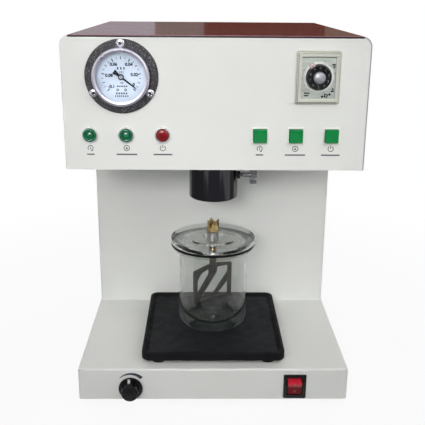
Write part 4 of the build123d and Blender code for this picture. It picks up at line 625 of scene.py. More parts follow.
# A flat dark cross over each screw's cross recess: painted shade in the recess.
cross = 0.45 * np.array([(-1, 1), (-1, 4), (1, 4), (1, 1), (4, 1), (4, -1), (1, -1), (1, -4), (-1, -4),
                         (-1, -1), (-4, -1), (-4, 1)])
crossSeats = [(spot + [0, 0, gauge["crossHigh"]], "up") for spot in screwSpots]
built("gaugeCrossShadows", repeated(cutOut([cross], 0.1), crossSeats), gaugeSeat, "pointer_black")
print("gauge made")


# Timer: stepped frame, face plate with its marks, turning dial with a tab and a domed cap.
timer = {"x": 105.6, "z": 388.8, "dialUp": 1.0, "frame": (46.8, 55.4), "frameHigh": 5.5,
         "stepLines": ((0.95, 1.85), (2.3, 3.75)), "lineWide": 0.65, "lineEnd": 3.2, "lineThick": 0.9,
         "face": (36.8, 43.6), "faceHigh": 4.0, "bodyDeep": 58.0, "dial": 14.8, "grip": 13.2,
         "dialHigh": 10.0, "gripSide": 12.7, "gripBand": 0.9, "gripFrom": 5.95, "gripTo": 9.9,
         "scallops": 30, "scallopDeep": 0.45, "cap": 6.2, "capHigh": 14.0, "tabTurn": -32.5,
         "tabCircle": 13.2, "numberSize": 3.6, "numberThick": 0.12, "numberBold": 0.1, "numberCircle": 9.8,
         "numberStep": 36.0, "printHigh": 4.04, "printThick": 0.1}
timerSeat = ahead(timer["x"], timer["z"])
timerFrame = framed([(0, 0, 0.1), (0, 1.7, 0.3), (-1.0, 1.8, 0.1), (-1.0, 0.4, 0.05), (-1.5, 0.4, 0.05),
                     (-1.5, 3.6, 0.3), (-2.4, 3.7, 0.1), (-2.4, 2.2, 0.05), (-2.9, 2.2, 0.05),
                     (-2.9, timer["frameHigh"], 0.3), (-5.2, timer["frameHigh"] - 0.1, 0.3),
                     (-5.75, 4.9, 0.2), (-5.75, 0, 0.1)], timer["frame"], 3.0, 5, 7, True, (1, 1.104))
# Dark L-shaped lines along the left and the bottom of the frame's steps: painted shade on the step walls.
stepShapes = []
wide, tall = timer["frame"][0] / 2, timer["frame"][1] / 2
for inset, height in timer["stepLines"]:  # an L along the left and the bottom of each step
    left, low, line = inset - wide, inset - tall, timer["lineWide"]
    top, right = tall - timer["lineEnd"], wide - timer["lineEnd"]
    corner = np.array([(left, top), (left + line, top), (left + line, low + line), (right, low + line),
                       (right, low), (left, low)])
    stepShapes.append(placed(cutOut([corner], timer["lineThick"], 0.05),
                             (0, 0, height - timer["lineThick"] / 2)))
built("timerStepShadows", joined(*stepShapes), timerSeat, "beige_plastic", finish="stepShade")
built("timerFrame", timerFrame, timerSeat, "beige_plastic", "timer_frame")
timerBody = framed([(-4, -timer["bodyDeep"], 0), (0, -timer["bodyDeep"], 1), (0, timer["faceHigh"], 0.35),
                    (-2, timer["faceHigh"], 0)], timer["face"], 0.8)
built("timerFace", timerBody, timerSeat, "silver_plastic", "timer_body")
dialSeat = ahead(timer["x"], timer["z"] + timer["dialUp"])
dialTurns = {"body": "timer_knob"}


# Radius less a scallop: depth (1 - |cos(n a / 2)|)^2 on the grip's side only.
def gripRipple(radius, height, angle):
    side = np.abs(radius - timer["gripSide"]) < timer["gripBand"]
    side = side & (height > timer["gripFrom"]) & (height < timer["gripTo"])
    scallop = (1 - np.abs(np.cos(timer["scallops"] / 2 * angle))) ** 2
    return radius - np.where(side, timer["scallopDeep"], 0.0) * scallop


timerDial = turned([(0, 4.3, 0), (13.5, 4.3, 0.2), (13.5, 6.1, 0.3), (timer["grip"], 6.2, 0.1),
                    (12.2, timer["dialHigh"], 0.5), (7.2, timer["dialHigh"] - 0.25, 0.4), (0, 9.6, 0)],
                   240, 5, ripple=gripRipple)
timerStub = hoop((0, 2.5), (0.2, 4.4), (0, 0.2, 0, 0), 32, 2)
built("timerDial", joined(timerDial, timerStub), dialSeat, "black_plastic", "timer_dial", **dialTurns)
dialRim = hoop((13.4, timer["dial"]), (4.3, 5.9), (0.1, 0.2, 0.5, 0.2), 128, 4)
built("timerDialRim", dialRim, dialSeat, "silver_plastic", finish="printWhite", **dialTurns)
timerCap = turned([(0, 9.5, 0), (timer["cap"], 9.5, 0.2), (timer["cap"], 11.9, 0.8), (4.9, 13.4, 1.2),
                   (2.2, timer["capHigh"], 1.5), (0, timer["capHigh"], 0)], 96, 6)
built("timerCap", timerCap, dialSeat, "silver_plastic", "timer_dial_cap", finish="capSilver", **dialTurns)
timerTab = framed([(-1.5, 4.35, 0), (0, 4.35, 0.3), (0, 9.4, 0.7), (-1.5, 9.4, 0)], (5.4, 6.0), 1.6)
up, across = np.array(cosSin(timer["tabTurn"])) * timer["tabCircle"]
built("timerTab", placed(timerTab, (across, up, 0), "up", timer["tabTurn"]), dialSeat, "clear_plastic",
      finish="tabClear", **dialTurns)
built("timerTabLine", markRing([timer["tabTurn"]], 11.6, 14.6, 0.7, 9.4, 9.46), dialSeat, "red_plastic",
      **dialTurns)
dialMarks = []
for index in range(10):
    way = timer["tabTurn"] + timer["numberStep"] * (index + 1)
    up, across = np.array(cosSin(way)) * timer["numberCircle"]
    number = lettering(str(index), timer["numberSize"], timer["numberThick"], timer["numberBold"])
    dialMarks.append(placed(number, (across, up, timer["dialHigh"])))
built("timerNumbers", joined(*dialMarks), dialSeat, "dial_white", finish="printGrey", **dialTurns)
timerRing = hoop((15.0, 15.7), (4.0, 4.12), (0, 0, 0, 0), 96, 1)
built("timerRing", timerRing, dialSeat, "white_plastic", finish="printWhite")
triangle = np.array([[-1.3, 1.3], [0.0, -1.1], [1.3, 1.3]])
smallSquare = [barLoop(4.0, 3.6), barLoop(1.8, 1.4)]
smallDot = arcBand(0.001, 1.25, 0, 345, 14)
# The long thin bars at (0, 21.1) and (17.8, 0), along the face's top and right inner edges, are painted
# shadow of the frame's rim; the other bars are prints.
timerBarsAndShadowLines = [(3.2, 1.5, 15.2, 13.6), (3.2, 1.5, 15.0, -13.4), (5.8, 1.3, -11.5, -15.4), (35.4, 0.7, 0, 21.1),
             (0.8, 41.6, 17.8, 0), (4.8, 1.3, -12.0, -18.0)]  # width, height, across, up
timerPrintsAndShadowLines = [([triangle], 15.6, 10.6, 0), ([triangle], 15.2, -10.6, 180), (smallSquare, 8.4, -18.0, 12),
               ([smallDot], 4.6, -18.9, 0), ([smallDot], 12.2, -16.6, 0)]
timerPrintsAndShadowLines += [([barLoop(width, height)], x, y, 0) for width, height, x, y in timerBarsAndShadowLines]
scaleTicks = markRing(np.arange(-120, 165, 28), 16.2, 17.2, 0.45, 4.0, 4.1)
built("timerPrintsAndShadowLines", joined(placed(scaleTicks, (0, timer["dialUp"], 0)),
                            printed(timerPrintsAndShadowLines, timer["printHigh"], timer["printThick"])),
      timerSeat, "pointer_black")
print("timer made")


# Three pilot lamps with ringed green lenses and one domed red lens.
lamps = {"xs": (-132.8, -94.4, -56.0), "z": 327.7, "bezel": 8.6, "bezelHigh": 2.2, "lens": 7.0,
         "lensHigh": 4.5}
lampSeats = [ahead(x, lamps["z"]) for x in lamps["xs"]]
lampBody = turned([(0, -22, 0), (6, -22, 0.8), (6, 0, 0.1), (lamps["bezel"], 0, 0.1),
                   (lamps["bezel"], lamps["bezelHigh"], 0.7), (7.5, lamps["bezelHigh"], 0.25),
                   (7.5, 0.66, 0.1), (0, 0.66, 0)], 80)
built("lampBodies", repeated(lampBody, lampSeats), bench, "chrome", "lamp_bodies", finish="lampRing")
ringedLens = turned([(0, 0.7, 0), (lamps["lens"], 0.7, 0.1), (lamps["lens"], 3.1, 0.6), (5.9, 3.9, 0.5),
                     (4.9, 3.7, 0.3), (4.5, 2.6, 0.3), (3.7, 2.6, 0.3), (3.3, 3.9, 0.4), (1.4, 4.4, 0.6),
                     (0, lamps["lensHigh"], 0)], 80)
built("greenLenses", repeated(ringedLens, lampSeats[:2]), bench, "green_lens", "green_lamp_lenses")
domedLens = turned([(0, 0.7, 0), (lamps["lens"], 0.7, 0.1), (lamps["lens"], 2.5, 0.7), (5.8, 3.9, 1.4),
                    (2.9, 4.45, 1.4), (0, lamps["lensHigh"], 0)], 80, 6)
built("redLens", domedLens, lampSeats[2], "red_lens", "red_lamp_lens")

# Three square push buttons in white housings.
buttons = {"xs": (47.2, 85.2, 123.2), "z": 327.7, "bezel": 17.4, "cap": 14.2, "capHigh": 5.2}
buttonSeats = [ahead(x, buttons["z"]) for x in buttons["xs"]]
housing = framed([(-5, -24, 0), (-1, -24, 0.5), (-1, 0, 0.1), (0, 0, 0.1), (0, 2, 0.7), (-1.3, 2, 0.3),
                  (-1.3, -7, 0.2), (-5, -7, 0)], (buttons["bezel"], buttons["bezel"]), 1.2)
built("buttonHousings", repeated(housing, buttonSeats), bench, "white_plastic", "button_housings")
cap = framed([(-3, -2, 0), (0, -2, 0.3), (0, buttons["capHigh"], 0.7), (-1.3, buttons["capHigh"], 0.25),
              (-1.9, 5.0, 0.25), (-4, 5.0, 0)], (buttons["cap"], buttons["cap"]), 0.8)
stem = hoop((0, 2), (-8, -1.9), (0, 0.4, 0, 0), 32, 2)
for name, seat in zip(("mix", "vacuum", "power"), buttonSeats):
    built(name + "Button", joined(cap, stem), seat, "green_plastic", name + "_button", body=name + "_push")
print("lamps and buttons made")


# Mains rocker in its case: a bent two-faced profile carried across, tilted with its top proud.
rocker = {"x": 97.0, "z": 25.2, "case": (27.0, 31.0), "half": 8.3, "pivot": 6.0, "tilt": 12.0,
          "faceRise": 2.5, "faceHalf": 8.2, "middle": 7.5, "letter": 4.4, "letterUp": 4.3,
          "letterThick": 0.06, "letterProud": 0.05}
rockerCase = framed([(-6, -24, 0), (-3, -24, 0.5), (-3, 0, 0.1), (0, 0, 0.1), (0, 2, 0.8), (-3.6, 2, 0.3),
                     (-4.6, 1.2, 0.3), (-4.6, -13, 0.2), (-7, -13, 0)],
                    rocker["case"], 1.2, stretch=(1, 0.87))
built("rockerCase", rockerCase, ahead(rocker["x"], rocker["z"]), "black_plastic", "rocker_case")
rockerSide = [(rocker["faceHalf"], 10, 0.6), (9.4, 0, 0.5), (4.5, -4, 0.5)]
rockerBody = carried([(0, rocker["middle"], 1.2)] + rockerSide
                     + [(-up, out, setBack) for up, out, setBack in rockerSide[::-1]], rocker["half"], 0.5)
pivotPin = hoop((0, 1), (-9, 9), (0, 0.2, 0.2, 0), 20, 2)
c, s = cosSin(rocker["tilt"])
rockerAxes = ((1, 0, 0), (0, -s, c), (0, -c, -s))  # its own y runs up and its height ahead
rockerSeat = (rocker["x"], machine["front"] + rocker["pivot"], rocker["z"]), rockerAxes
rocks = {"body": "mains_rocker"}
built("rockerKey", joined(rockerBody, placed(pivotPin, (0, 0, 0), "right")), rockerSeat, "red_plastic",
      "power_rocker", **rocks)
faceLean = math.atan2(rocker["faceRise"], rocker["faceHalf"])
letterShapes = []
for text, side in (("I", 1), ("O", -1)):
    lean = faceLean * side
    axes = ((1, 0, 0), (0, math.cos(lean), math.sin(lean)), (0, -math.sin(lean), math.cos(lean)))
    letterHigh = rocker["middle"] + rocker["letterUp"] * math.tan(faceLean) + rocker["letterProud"]
    letter = lettering(text, rocker["letter"], rocker["letterThick"])
    letterShapes.append(placed(letter, (0, rocker["letterUp"] * side, letterHigh), axes))
built("rockerMarks", joined(*letterShapes), rockerSeat, "white_plastic", finish="markPink", **rocks)

# Vibration knob: skirt, fluted grip, white line, and the swelling arc printed above it.
knob = {"x": -98.0, "z": 24.0, "skirt": 14.2, "grip": 10.6, "reach": 16.5, "line": -8.0, "lineWide": 2.8,
        "flutes": 9, "firstFlute": 20, "fluteAway": 11.68, "flute": 2.4, "fluteLow": 5.1,
        "arc": 17.6, "arcThin": 0.4, "arcSwell": 1.7, "arcHalf": 47}


# Radius = the nearer of the grip and the flute circle: D cos b - sqrt(q^2 - (D sin b)^2).
def flutes(radius, height, angle):
    pitch = 2 * np.pi / knob["flutes"]
    turn = (angle - np.radians(knob["firstFlute"]) + pitch / 2) % pitch - pitch / 2
    under = knob["flute"] ** 2 - (knob["fluteAway"] * np.sin(turn)) ** 2
    edge = knob["fluteAway"] * np.cos(turn) - np.sqrt(np.maximum(under, 0))
    cut = (under > 0) & (height > knob["fluteLow"]) & (radius > edge)
    return np.where(cut, edge, radius)


knobSeat = ahead(knob["x"], knob["z"])
gripRows = [(10.55 - 0.08 * row, 5.3 + row, 0.2) for row in range(10)]
knobShape = turned([(0, 2.4, 0), (knob["skirt"], 2.4, 0.3), (knob["skirt"], 5.0, 0.9),
                    (knob["grip"] + 0.6, 5.0, 0.2)] + gripRows
                   + [(9.7, 15.9, 0.6), (8.6, knob["reach"], 0.5), (7.0, knob["reach"], 0.2),
                      (6.6, 16.1, 0.2), (0, 16.1, 0)], 270, 4, ripple=flutes)
turns = {"body": "vibration_knob"}
built("vibrationKnob", knobShape, knobSeat, "black_plastic", "intensity_knob", **turns)
knobLine = joined(*[markRing([knob["line"]], inner, outer, knob["lineWide"], low, high)
                    for inner, outer, low, high in ((10.9, 13.4, 5.0, 5.2), (9.6, 11.2, 5.1, 8.9))])
built("knobLine", knobLine, knobSeat, "white_plastic", finish="printWhite", **turns)
swell = knob["arcThin"] + knob["arcSwell"] * np.linspace(0, 1, 33)
knobArc = arcBand(knob["arc"] - swell, knob["arc"] + swell, -knob["arcHalf"], knob["arcHalf"], 32)
built("knobArc", cutOut([knobArc], film), knobSeat, "pointer_black", finish="printBlue")
print("rocker and knob made")


# Drive housing under the head, with its clamp boss, nozzle and seal.
drive = {"mouth": 230.7, "barrel": 30.0, "flange": 42.0, "headFloor": 291.5, "flangeTop": 301.5,
         "socket": 22.0, "sleeve": 18.1, "sleeveBottom": 252.7, "groove": (23, 28, 232.5), "nozzleZ": 297.0}
grooveIn, grooveOut, grooveTop = drive["groove"]
housingShape = turned([
    (drive["socket"], drive["mouth"], 0.3), (grooveIn, drive["mouth"], 0.1), (grooveIn, grooveTop, 0),
    (grooveOut, grooveTop, 0), (grooveOut, drive["mouth"], 0.2), (drive["barrel"], drive["mouth"], 0.8),
    (drive["barrel"], drive["headFloor"], 0.1), (drive["flange"], drive["headFloor"], 0.3),
    (drive["flange"], drive["flangeTop"], 0.6), (drive["sleeve"], drive["flangeTop"], 0.3),
    (drive["sleeve"], drive["sleeveBottom"], 0.2), (drive["socket"], drive["sleeveBottom"], 0.3)],
    160, 4, True)
clamp = {"z": 257.0, "knob": 11.5, "land": 10.9, "landEdge": 0.5, "landPitch": 0.87, "knurls": 28,
         "knurlDeep": 0.6, "rod": (2.5, 21.35, 51.8), "pitch": 0.8, "threadDeep": 0.22, "neck": 2.95}
boss = hoop((2.7, 5), (28.5, 33), (0, 0, 0.6, 0.3), 48, 3)
nozzle = turned([(0, 40, 0), (2.6, 40, 0), (2.6, 54, 0.5), (1.4, 54, 0.2), (1.4, 50, 0), (0, 50, 0)], 32, 3)
built("driveHousing", joined(housingShape, placed(boss, (0, 0, clamp["z"]), "right"),
                             placed(nozzle, (0, 0, drive["nozzleZ"]), "back")),
      onAxis(), "dark_chrome", "drive_housing")
sealRing = hoop((grooveIn, grooveOut), (229.5, grooveTop), (0.6, 0.6, 0.1, 0.1), 128, 4)
built("housingSeal", sealRing, onAxis(), "black_rubber", "housing_seal")


# Radius less depth |cos(n a / 2)|^3 on the outer land, between the two chamfers.
def knurls(radius, height, angle):
    land = np.clip((radius - clamp["land"]) / clamp["landEdge"], 0, 1)
    return radius - clamp["knurlDeep"] * land * np.abs(np.cos(clamp["knurls"] / 2 * angle)) ** 3


# Clamp screw at the housing's side: threaded rod with its thicker neck, and the knurled knob.
clampPiece = {"body": "clamp_screw", "finish": "clampSteel"}
clampNeck = turned([(0, 36.0, 0), (2.4, 36.0, 0.1), (clamp["neck"], 36.6, 0.2), (clamp["neck"], 45.4, 0.1),
                    (0, 45.4, 0)], 48, 3)
clampRod = threaded(*clamp["rod"], clamp["pitch"], clamp["threadDeep"])
clampSeat = onAxis(clamp["z"], "right")
built("clampRod", joined(clampRod, clampNeck), clampSeat, "chrome", "clamp_rod", **clampPiece)
landRows = [(clamp["knob"], 46.2 + clamp["landPitch"] * row, 0.2) for row in range(8)]
clampKnob = turned([(0, 45, 0), (6.5, 45, 0.4), (10.6, 45, 0.4), (clamp["knob"], 45.9, 0.3)] + landRows
                   + [(clamp["knob"], 52.6, 0.3), (10.6, 53.5, 0.4), (8.6, 53.5, 0.3), (8.1, 53.0, 0.2),
                      (0, 53.0, 0)], 224, 3, ripple=knurls)
built("clampKnob", clampKnob, clampSeat, "chrome", "clamp_knob", **clampPiece)
print("drive housing made")


# Clear mixing bowl with its gasket, dished lid and the bush in the lid's boss.
bowl = {"base": 59.5, "outer": 43.8, "inner": 40.8, "floor": 5.0, "high": 108.0, "flange": 51.0,
        "flangeLow": 103.0, "outerArc": 12.0, "innerArc": 26.0}
lid = {"low": 169.7, "rim": 53.2, "bore": 7.45, "rib": (37.1, 40.3, -4), "gasket": (42.0, 49.4),
       "gasketLow": 167.52, "edge": (49.42, 51.3, 53.1), "edgeLow": 166.2, "under": 169.68}
lifts = {"body": "bowl_set"}
bowlShape = turned([(0, 0, 0), (bowl["outer"], 0, bowl["outerArc"]), (bowl["outer"], 101.5, 0.8),
                    (45.3, bowl["flangeLow"], 0.6), (bowl["flange"], bowl["flangeLow"], 0.8),
                    (bowl["flange"], bowl["high"], 0.8), (bowl["inner"], bowl["high"], 0.4),
                    (bowl["inner"], bowl["floor"], bowl["innerArc"]), (0, bowl["floor"], 0)], 160, 12)
built("bowlGlass", bowlShape, onAxis(bowl["base"]), "clear_plastic", "bowl", finish="bowlClear", **lifts)
gasket = hoop(lid["gasket"], (lid["gasketLow"], lid["under"]), (0.4, 0.2, 0.2, 0.4), 160, 3)
built("lidGasket", gasket, onAxis(), "black_rubber", "lid_gasket", finish="gasketGrey", **lifts)
inner, step, outer = lid["edge"]
gasketEdge = turned([(inner, 167.6, 0.1), (step, 167.6, 0.2), (step, lid["edgeLow"], 0.3),
                     (outer, lid["edgeLow"], 0.5), (outer, lid["under"], 0.2), (inner, lid["under"], 0.1)],
                    160, 3, True)
built("gasketEdge", gasketEdge, onAxis(), "black_rubber", finish="gasketBlack", **lifts)
inner, outer, deep = lid["rib"]
lidShape = turned([(lid["bore"], 0, 0.2), (inner, 0, 0.3), (inner, deep, 0.4), (outer, deep, 0.5),
                   (outer, 0, 0.2), (lid["rim"], 0, 0.4), (lid["rim"], 7, 1.2), (47, 7, 1.0), (43, 3.6, 1.2),
                   (31.5, 3.6, 0.7), (29.5, 6.8, 0.6), (15, 6.8, 1.2), (11, 13.3, 0.8),
                   (lid["bore"], 13.3, 0.3)], 160, 6, True)
built("lidGlass", lidShape, onAxis(lid["low"]), "clear_plastic", "lid", **lifts)
bush = hoop((4.6, 7.4), (166.7, 183.0), (0.4, 0.5, 0.3, 0.3), 64, 3)
built("lidBush", bush, onAxis(), "brass", "lid_bush", finish="bushNickel", **lifts)

# Paddle: shaft, open steel plate with two slanting braces, and the pronged crown on top.
paddle = {"turn": 36.0, "half": 30.5, "thick": 2.4, "foot": 27.0, "shoulder": 75.0, "top": 79.5, "bar": 6.0,
          "hub": 7.0, "slot": 13.0, "shaft": 4.5, "shaftTop": 188.3}
spins = {"body": "paddle"}
thick = paddle["shaft"]
shaft = turned([(0, 126, 0), (thick, 126, 0.6), (thick, 140.5, 0.4), (4.2, 141.5, 0.4), (4.2, 143, 0.4),
                (thick, 144, 0.4), (thick, paddle["shaftTop"], 0.5), (0, paddle["shaftTop"], 0)], 48)
built("paddleShaft", shaft, onAxis(), "steel", "paddle_shaft", finish="bladeSteel", **spins)
w, inner, low = paddle["half"], paddle["half"] - paddle["bar"], paddle["foot"] + paddle["bar"]
hub, top, shoulder = paddle["hub"], paddle["top"], paddle["shoulder"]
braceTop = top - paddle["slot"]
outline = [(-w, 31, 1), (-w + 4, 27, 1), (w - 4, 27, 1), (w, 31, 1), (w, shoulder, 2), (hub, top, 2),
           (-hub, top, 2), (-w, shoulder, 2)]
leftWindow = [(-inner, low + 10, 1), (-hub + 1, braceTop, 1.5), (-hub, top - 6, 1.5),
              (-inner + 6, shoulder - 5, 3), (-inner, shoulder - 14, 3)]
middleWindow = [(-inner + 2, low, 1), (hub - 1, braceTop, 2), (hub, top - 6, 1.5), (inner, shoulder - 3, 2),
                (inner, shoulder - 12, 2), (-hub + 3, low, 1)]
rightWindow = [(-hub + 3 + 7.5, low, 1), (inner, low, 1.5), (inner, shoulder - 24, 1)]
bladeShape = cutOut([softened(loop, 4) for loop in (outline, leftWindow, middleWindow, rightWindow)],
                    paddle["thick"], 0.4)
c, s = cosSin(paddle["turn"])
built("paddleBlade", bladeShape, onAxis(bowl["base"], ((c, s, 0), (0, 0, 1), (s, -c, 0))), "steel",
      "paddle_blade", finish="bladeSteel", **spins)


# Prong point = (r cos a, r sin a, low + k (top - low)): a section (r, k) carried over the angle
# between two slots, with top = min(peak, valley + slope x distance from the nearer slot).
def prong(inner, outer, slot, low, valley, slope, peak, steps=24):
    section = softened([(inner, 0, 0.1), (outer, 0, 0.1), (outer, 1, 0.15), (inner, 1, 0.1)], 3)
    r, k = section[None, :, 0], section[None, :, 1]
    across = np.linspace(-1, 1, steps + 1)[:, None]
    angle = np.pi / 4 + across * (np.pi / 4 - np.arcsin(slot / 2 / r))
    away = np.minimum(np.abs(r * np.sin(angle)), np.abs(r * np.cos(angle)))
    top = np.minimum(peak, valley + slope * away)
    return capped(np.stack([r * np.cos(angle), r * np.sin(angle), low + k * (top - low)], -1))


crown = {"base": 183.3, "outer": 7.4, "cavity": 5.0, "slot": 3.3, "low": 5.4, "valley": 8.2, "slope": 1.46,
         "peak": 16.0, "turn": 64.0}
crownBase = turned([(0, 0.02, 0), (crown["outer"], 0.02, 0.5), (crown["outer"], 5.5, 0.2),
                    (crown["cavity"], 5.5, 0.1), (crown["cavity"], 5.0, 0.1), (0, 5.0, 0)], 64, 3)
oneProng = prong(crown["cavity"], crown["outer"], crown["slot"], crown["low"], crown["valley"],
                 crown["slope"], crown["peak"])
prongs = repeated(oneProng, [((0, 0, 0), "up", -crown["turn"] - 90 * index) for index in range(4)])
built("driveCrown", joined(crownBase, prongs), onAxis(crown["base"]), "brass", "drive_crown", sharp=30,
      **spins)
print("bowl and paddle made")


# Vibrating tray in black rubber: rim, inner ledge and flat floor, and on the floor a thin sheet in a
# lighter tone of the rubber: painted sheen.
tray = {"size": (172.0, 178.0), "y": -66.75, "low": 51.7, "top": 62.6, "floor": 59.2, "corner": 10.0,
        "sheenInset": 8.2, "sheenThick": 0.2, "sheenHigh": 59.25}
shakes = {"body": "table"}
trayShape = framed([(-9, tray["low"], 0), (0, tray["low"], 1.8), (0, tray["top"], 1.7),
                    (-4.6, tray["top"], 0.9), (-5.4, 60.9, 0.5), (-6.8, 60.6, 0.5),
                    (-7.6, tray["floor"], 0.6), (-10, tray["floor"], 0)], tray["size"], tray["corner"], 5, 12)
built("tray", trayShape, ((0, tray["y"], 0), "up"), "black_rubber", "table_tray", finish="rimRubber",
      **shakes)
# The lighter sheet on the tray's floor is painted sheen; the rim keeps the darker rubber tone.
wide, deep = [side / 2 - tray["sheenInset"] for side in tray["size"]]
sheenLoop = softened([(-wide, -deep, 4), (wide, -deep, 4), (wide, deep, 4), (-wide, deep, 4)], 8)
built("traySheenSheet", cutOut([sheenLoop], tray["sheenThick"]), ((0, tray["y"], tray["sheenHigh"]), "up"), "black_rubber",
      **shakes)

# Buffers under the tray: a cup that moves with it slides over a core on the base.
buffers = {"radius": 9.3, "wall": 0.45, "gap": 0.2, "base": 48.0, "cupLow": 49.3, "under": 51.65,
           "coreTop": 50.5}
bufferSeats = [((x, y, 0), "up") for x in (-66, 66) for y in (-143.75, 2.25)]
outer, inner = buffers["radius"], buffers["radius"] - buffers["wall"]
bufferCup = hoop((inner, outer), (buffers["cupLow"], buffers["under"]), (0.1, 0.2, 0.05, 0.05), 64, 2)
bufferCore = hoop((0, inner - buffers["gap"]), (buffers["base"], buffers["coreTop"]), (0, 0.2, 0.3, 0), 64, 5)
built("bufferCups", repeated(bufferCup, bufferSeats), bench, "black_rubber", **shakes)
built("bufferCores", repeated(bufferCore, bufferSeats), bench, "black_rubber", "table_mounts")

# Four tapered feet, and the pan head screws of the feet, hood and rear cover.
footPlaces = [(x, y) for x in (-130, 130) for y in (-137.75, 138.25)]
footShape = turned([(0, 5, 0), (5, 5, 0.3), (5, 0, 0.4), (12, 0, 0.9), (12.6, 2.4, 0.4), (13.2, 4.8, 0.4),
                    (14, 8, 0.4), (0, 8, 0)], 64)
built("feet", repeated(footShape, [((x, y, 0), "up") for x, y in footPlaces]), bench, "black_rubber",
      "rubber_feet")
fixings = {"head": (3.8, 2.4), "shank": (1.9, 7), "footShank": (1.9, 15), "footZ": 5, "sideZ": 298.5,
           "sideYs": (-119.75, 0.25, 120.25), "turns": [17, -30, 42, 8, -12, 35, 25, -20],
           "rear": [(x, z) for x in (-150.2, 150.2) for z in (62, 169, 276)]
                   + [(x, 298.5) for x in (-75.1, 75.1)]}
screwTurns = fixings["turns"]
footSeats = [((x, y, fixings["footZ"]), "down", turn) for (x, y), turn in zip(footPlaces, screwTurns)]
coverSeats = [behind(x, z, turn) for (x, z), turn in zip(fixings["rear"], screwTurns)]
for facing, side, sideTurns in (("right", 1, screwTurns[:3]), ("left", -1, screwTurns[3:6])):
    coverSeats += [((side * machine["half"], y, fixings["sideZ"]), facing, turn)
                   for y, turn in zip(fixings["sideYs"], sideTurns)]
bodyScrews = joined(repeated(crossHead(*fixings["head"], fixings["footShank"]), footSeats),
                    repeated(crossHead(*fixings["head"], fixings["shank"]), coverSeats))
built("bodyScrews", bodyScrews, bench, "chrome", "body_screws")

# Mains inlet with three pins, fuse holder, and the brass exhaust spigot on the rear.
rear = {"inlet": (100.0, 28.0), "fuse": (60.0, 28.0), "spigot": (0.0, 100.0),
        "pins": [(-7, 1), (7, 1), (0, 5)], "barbs": 3, "barbPitch": 3.6}
inletSeat = behind(*rear["inlet"])
inletShape = framed([(-6, -22, 0), (-2, -22, 0.8), (-2, 0, 0.1), (0, 0, 0.1), (0, 2, 0.7), (-3.4, 2, 0.4),
                     (-3.6, -13, 0.3), (-7, -13, 0)], (31, 25), 1.5, stretch=(1, 1.2))
fuseShape = turned([(0, -26, 0), (6, -26, 0.5), (6, 0, 0.1), (9, 0, 0.1), (9, 1.5, 0.5), (6, 1.5, 0.2),
                    (6, 8, 0.6), (4.6, 8, 0.2), (4.4, 7.2, 0.2), (0, 7.2, 0)], 64)
built("powerInlet", joined(placed(inletShape, *inletSeat), placed(fuseShape, *behind(*rear["fuse"]))), bench,
      "black_plastic", "power_inlet")
pinShape = framed([(-0.5, -14, 0), (0, -14, 0), (0, -1, 0.5), (-0.6, -1, 0)], (2, 4), 0.4, 3, 3)
inletPins = repeated(pinShape, [((-x, z, 0), "up") for x, z in rear["pins"]])
built("inletPins", inletPins, inletSeat, "brass")
barbs = [(radius, start + rear["barbPitch"] * row, 0.15) for row in range(rear["barbs"])
         for radius, start in ((3.1, 5.0), (4.0, 5.2))]
spigotShape = turned([(1.3, -13.5, 0), (2.6, -13.5, 0.3), (2.6, 0, 0), (9, 0, 0.2), (9, 2, 0.6), (5, 2, 0.3),
                      (4, 3.2, 0.3)] + barbs + [(3.0, 16, 0.3), (1.3, 16, 0.2)], 64, 3, True)
built("exhaustSpigot", spigotShape, behind(*rear["spigot"]), "brass", "exhaust_spigot")
print("tray, feet, screws and rear fittings made")


# Pictograms on the panel: stirring arrow, pump and power signs, each over a short bar.
signs = {"signZ": 313.6, "barZ": 306.8, "barHigh": 1.5, "barWidths": (8.0, 22.0, 20.0)}
stirSign = [arcBand(2.3, 3.1, -140, 150), barLoop(0.8, 3.2),
            np.array([[0.3, -3.6], [2.5, -3.3], [1.2, -1.3]])]
pumpSign = [arcBand(2.5, 3.3, 0, 359, 36), np.array([[-1.4, -1.3], [1.4, -1.3], [0, 1.7]])]
powerSign = [arcBand(2.4, 3.2, 35, 325), barLoop(0.85, 3.4, 0, 1.9)]
signPrints = []
for xs in (lamps["xs"], buttons["xs"]):
    for x, loops, width in zip(xs, (stirSign, pumpSign, powerSign), signs["barWidths"]):
        signPrints += [([loop], x, signs["signZ"], 0) for loop in loops]
        signPrints.append(([barLoop(width, signs["barHigh"])], x, signs["barZ"], 0))
built("panelSigns", printed(signPrints, 0), ahead(0, 0), "pointer_black", finish="printGrey")
print("panel signs made")


# Edge strips round the head's upper corners, along the top and down the sides, and a bead under
# the lip. Along the top, the dark band at the hood's front edge is painted shadow and the pink band on
# the bend above it is a painted highlight; the grey strip down the right side is painted shade.
# Each band is (outer inset, inner inset, finish), each side (which way, finish).
lip = {"top": 430.7, "corner": 11.0, "low": 290.2, "sweep": 14.0, "thick": 0.6, "round": 0.08,
       "bands": {"hoodLipShadow": (-0.6, -2.2, "lipShade"), "hoodGlint": (-0.03, -0.6, "lipGlint")}, "out": 0.1,
       "sides": {"hoodEdgeLeft": (-1, "white_paint"), "hoodEdgeRight": (1, "edgePaintedShade")}, "sideOut": -0.2,
       "sideInsets": (-0.03, -1.35), "beadHalf": 147.5,
       "bead": [(424.6, -0.4), (424.6, 0.02), (427.25, 0.45), (427.85, 0.3), (428.55, -0.4)]}
lipCentre = np.array([-(machine["half"] - lip["corner"]), lip["top"] - lip["corner"]])


# Point = corner's centre + r (cos a, sin a) between two angles.
def cornerArc(fromAngle, toAngle, radius):
    turn = np.radians(np.linspace(fromAngle, toAngle, 14))
    return lipCentre + np.stack([np.cos(turn), np.sin(turn)], -1) * radius


def strip(outerLine, innerLine):
    return cutOut([np.concatenate([outerLine, innerLine[::-1]])], lip["thick"], lip["round"])


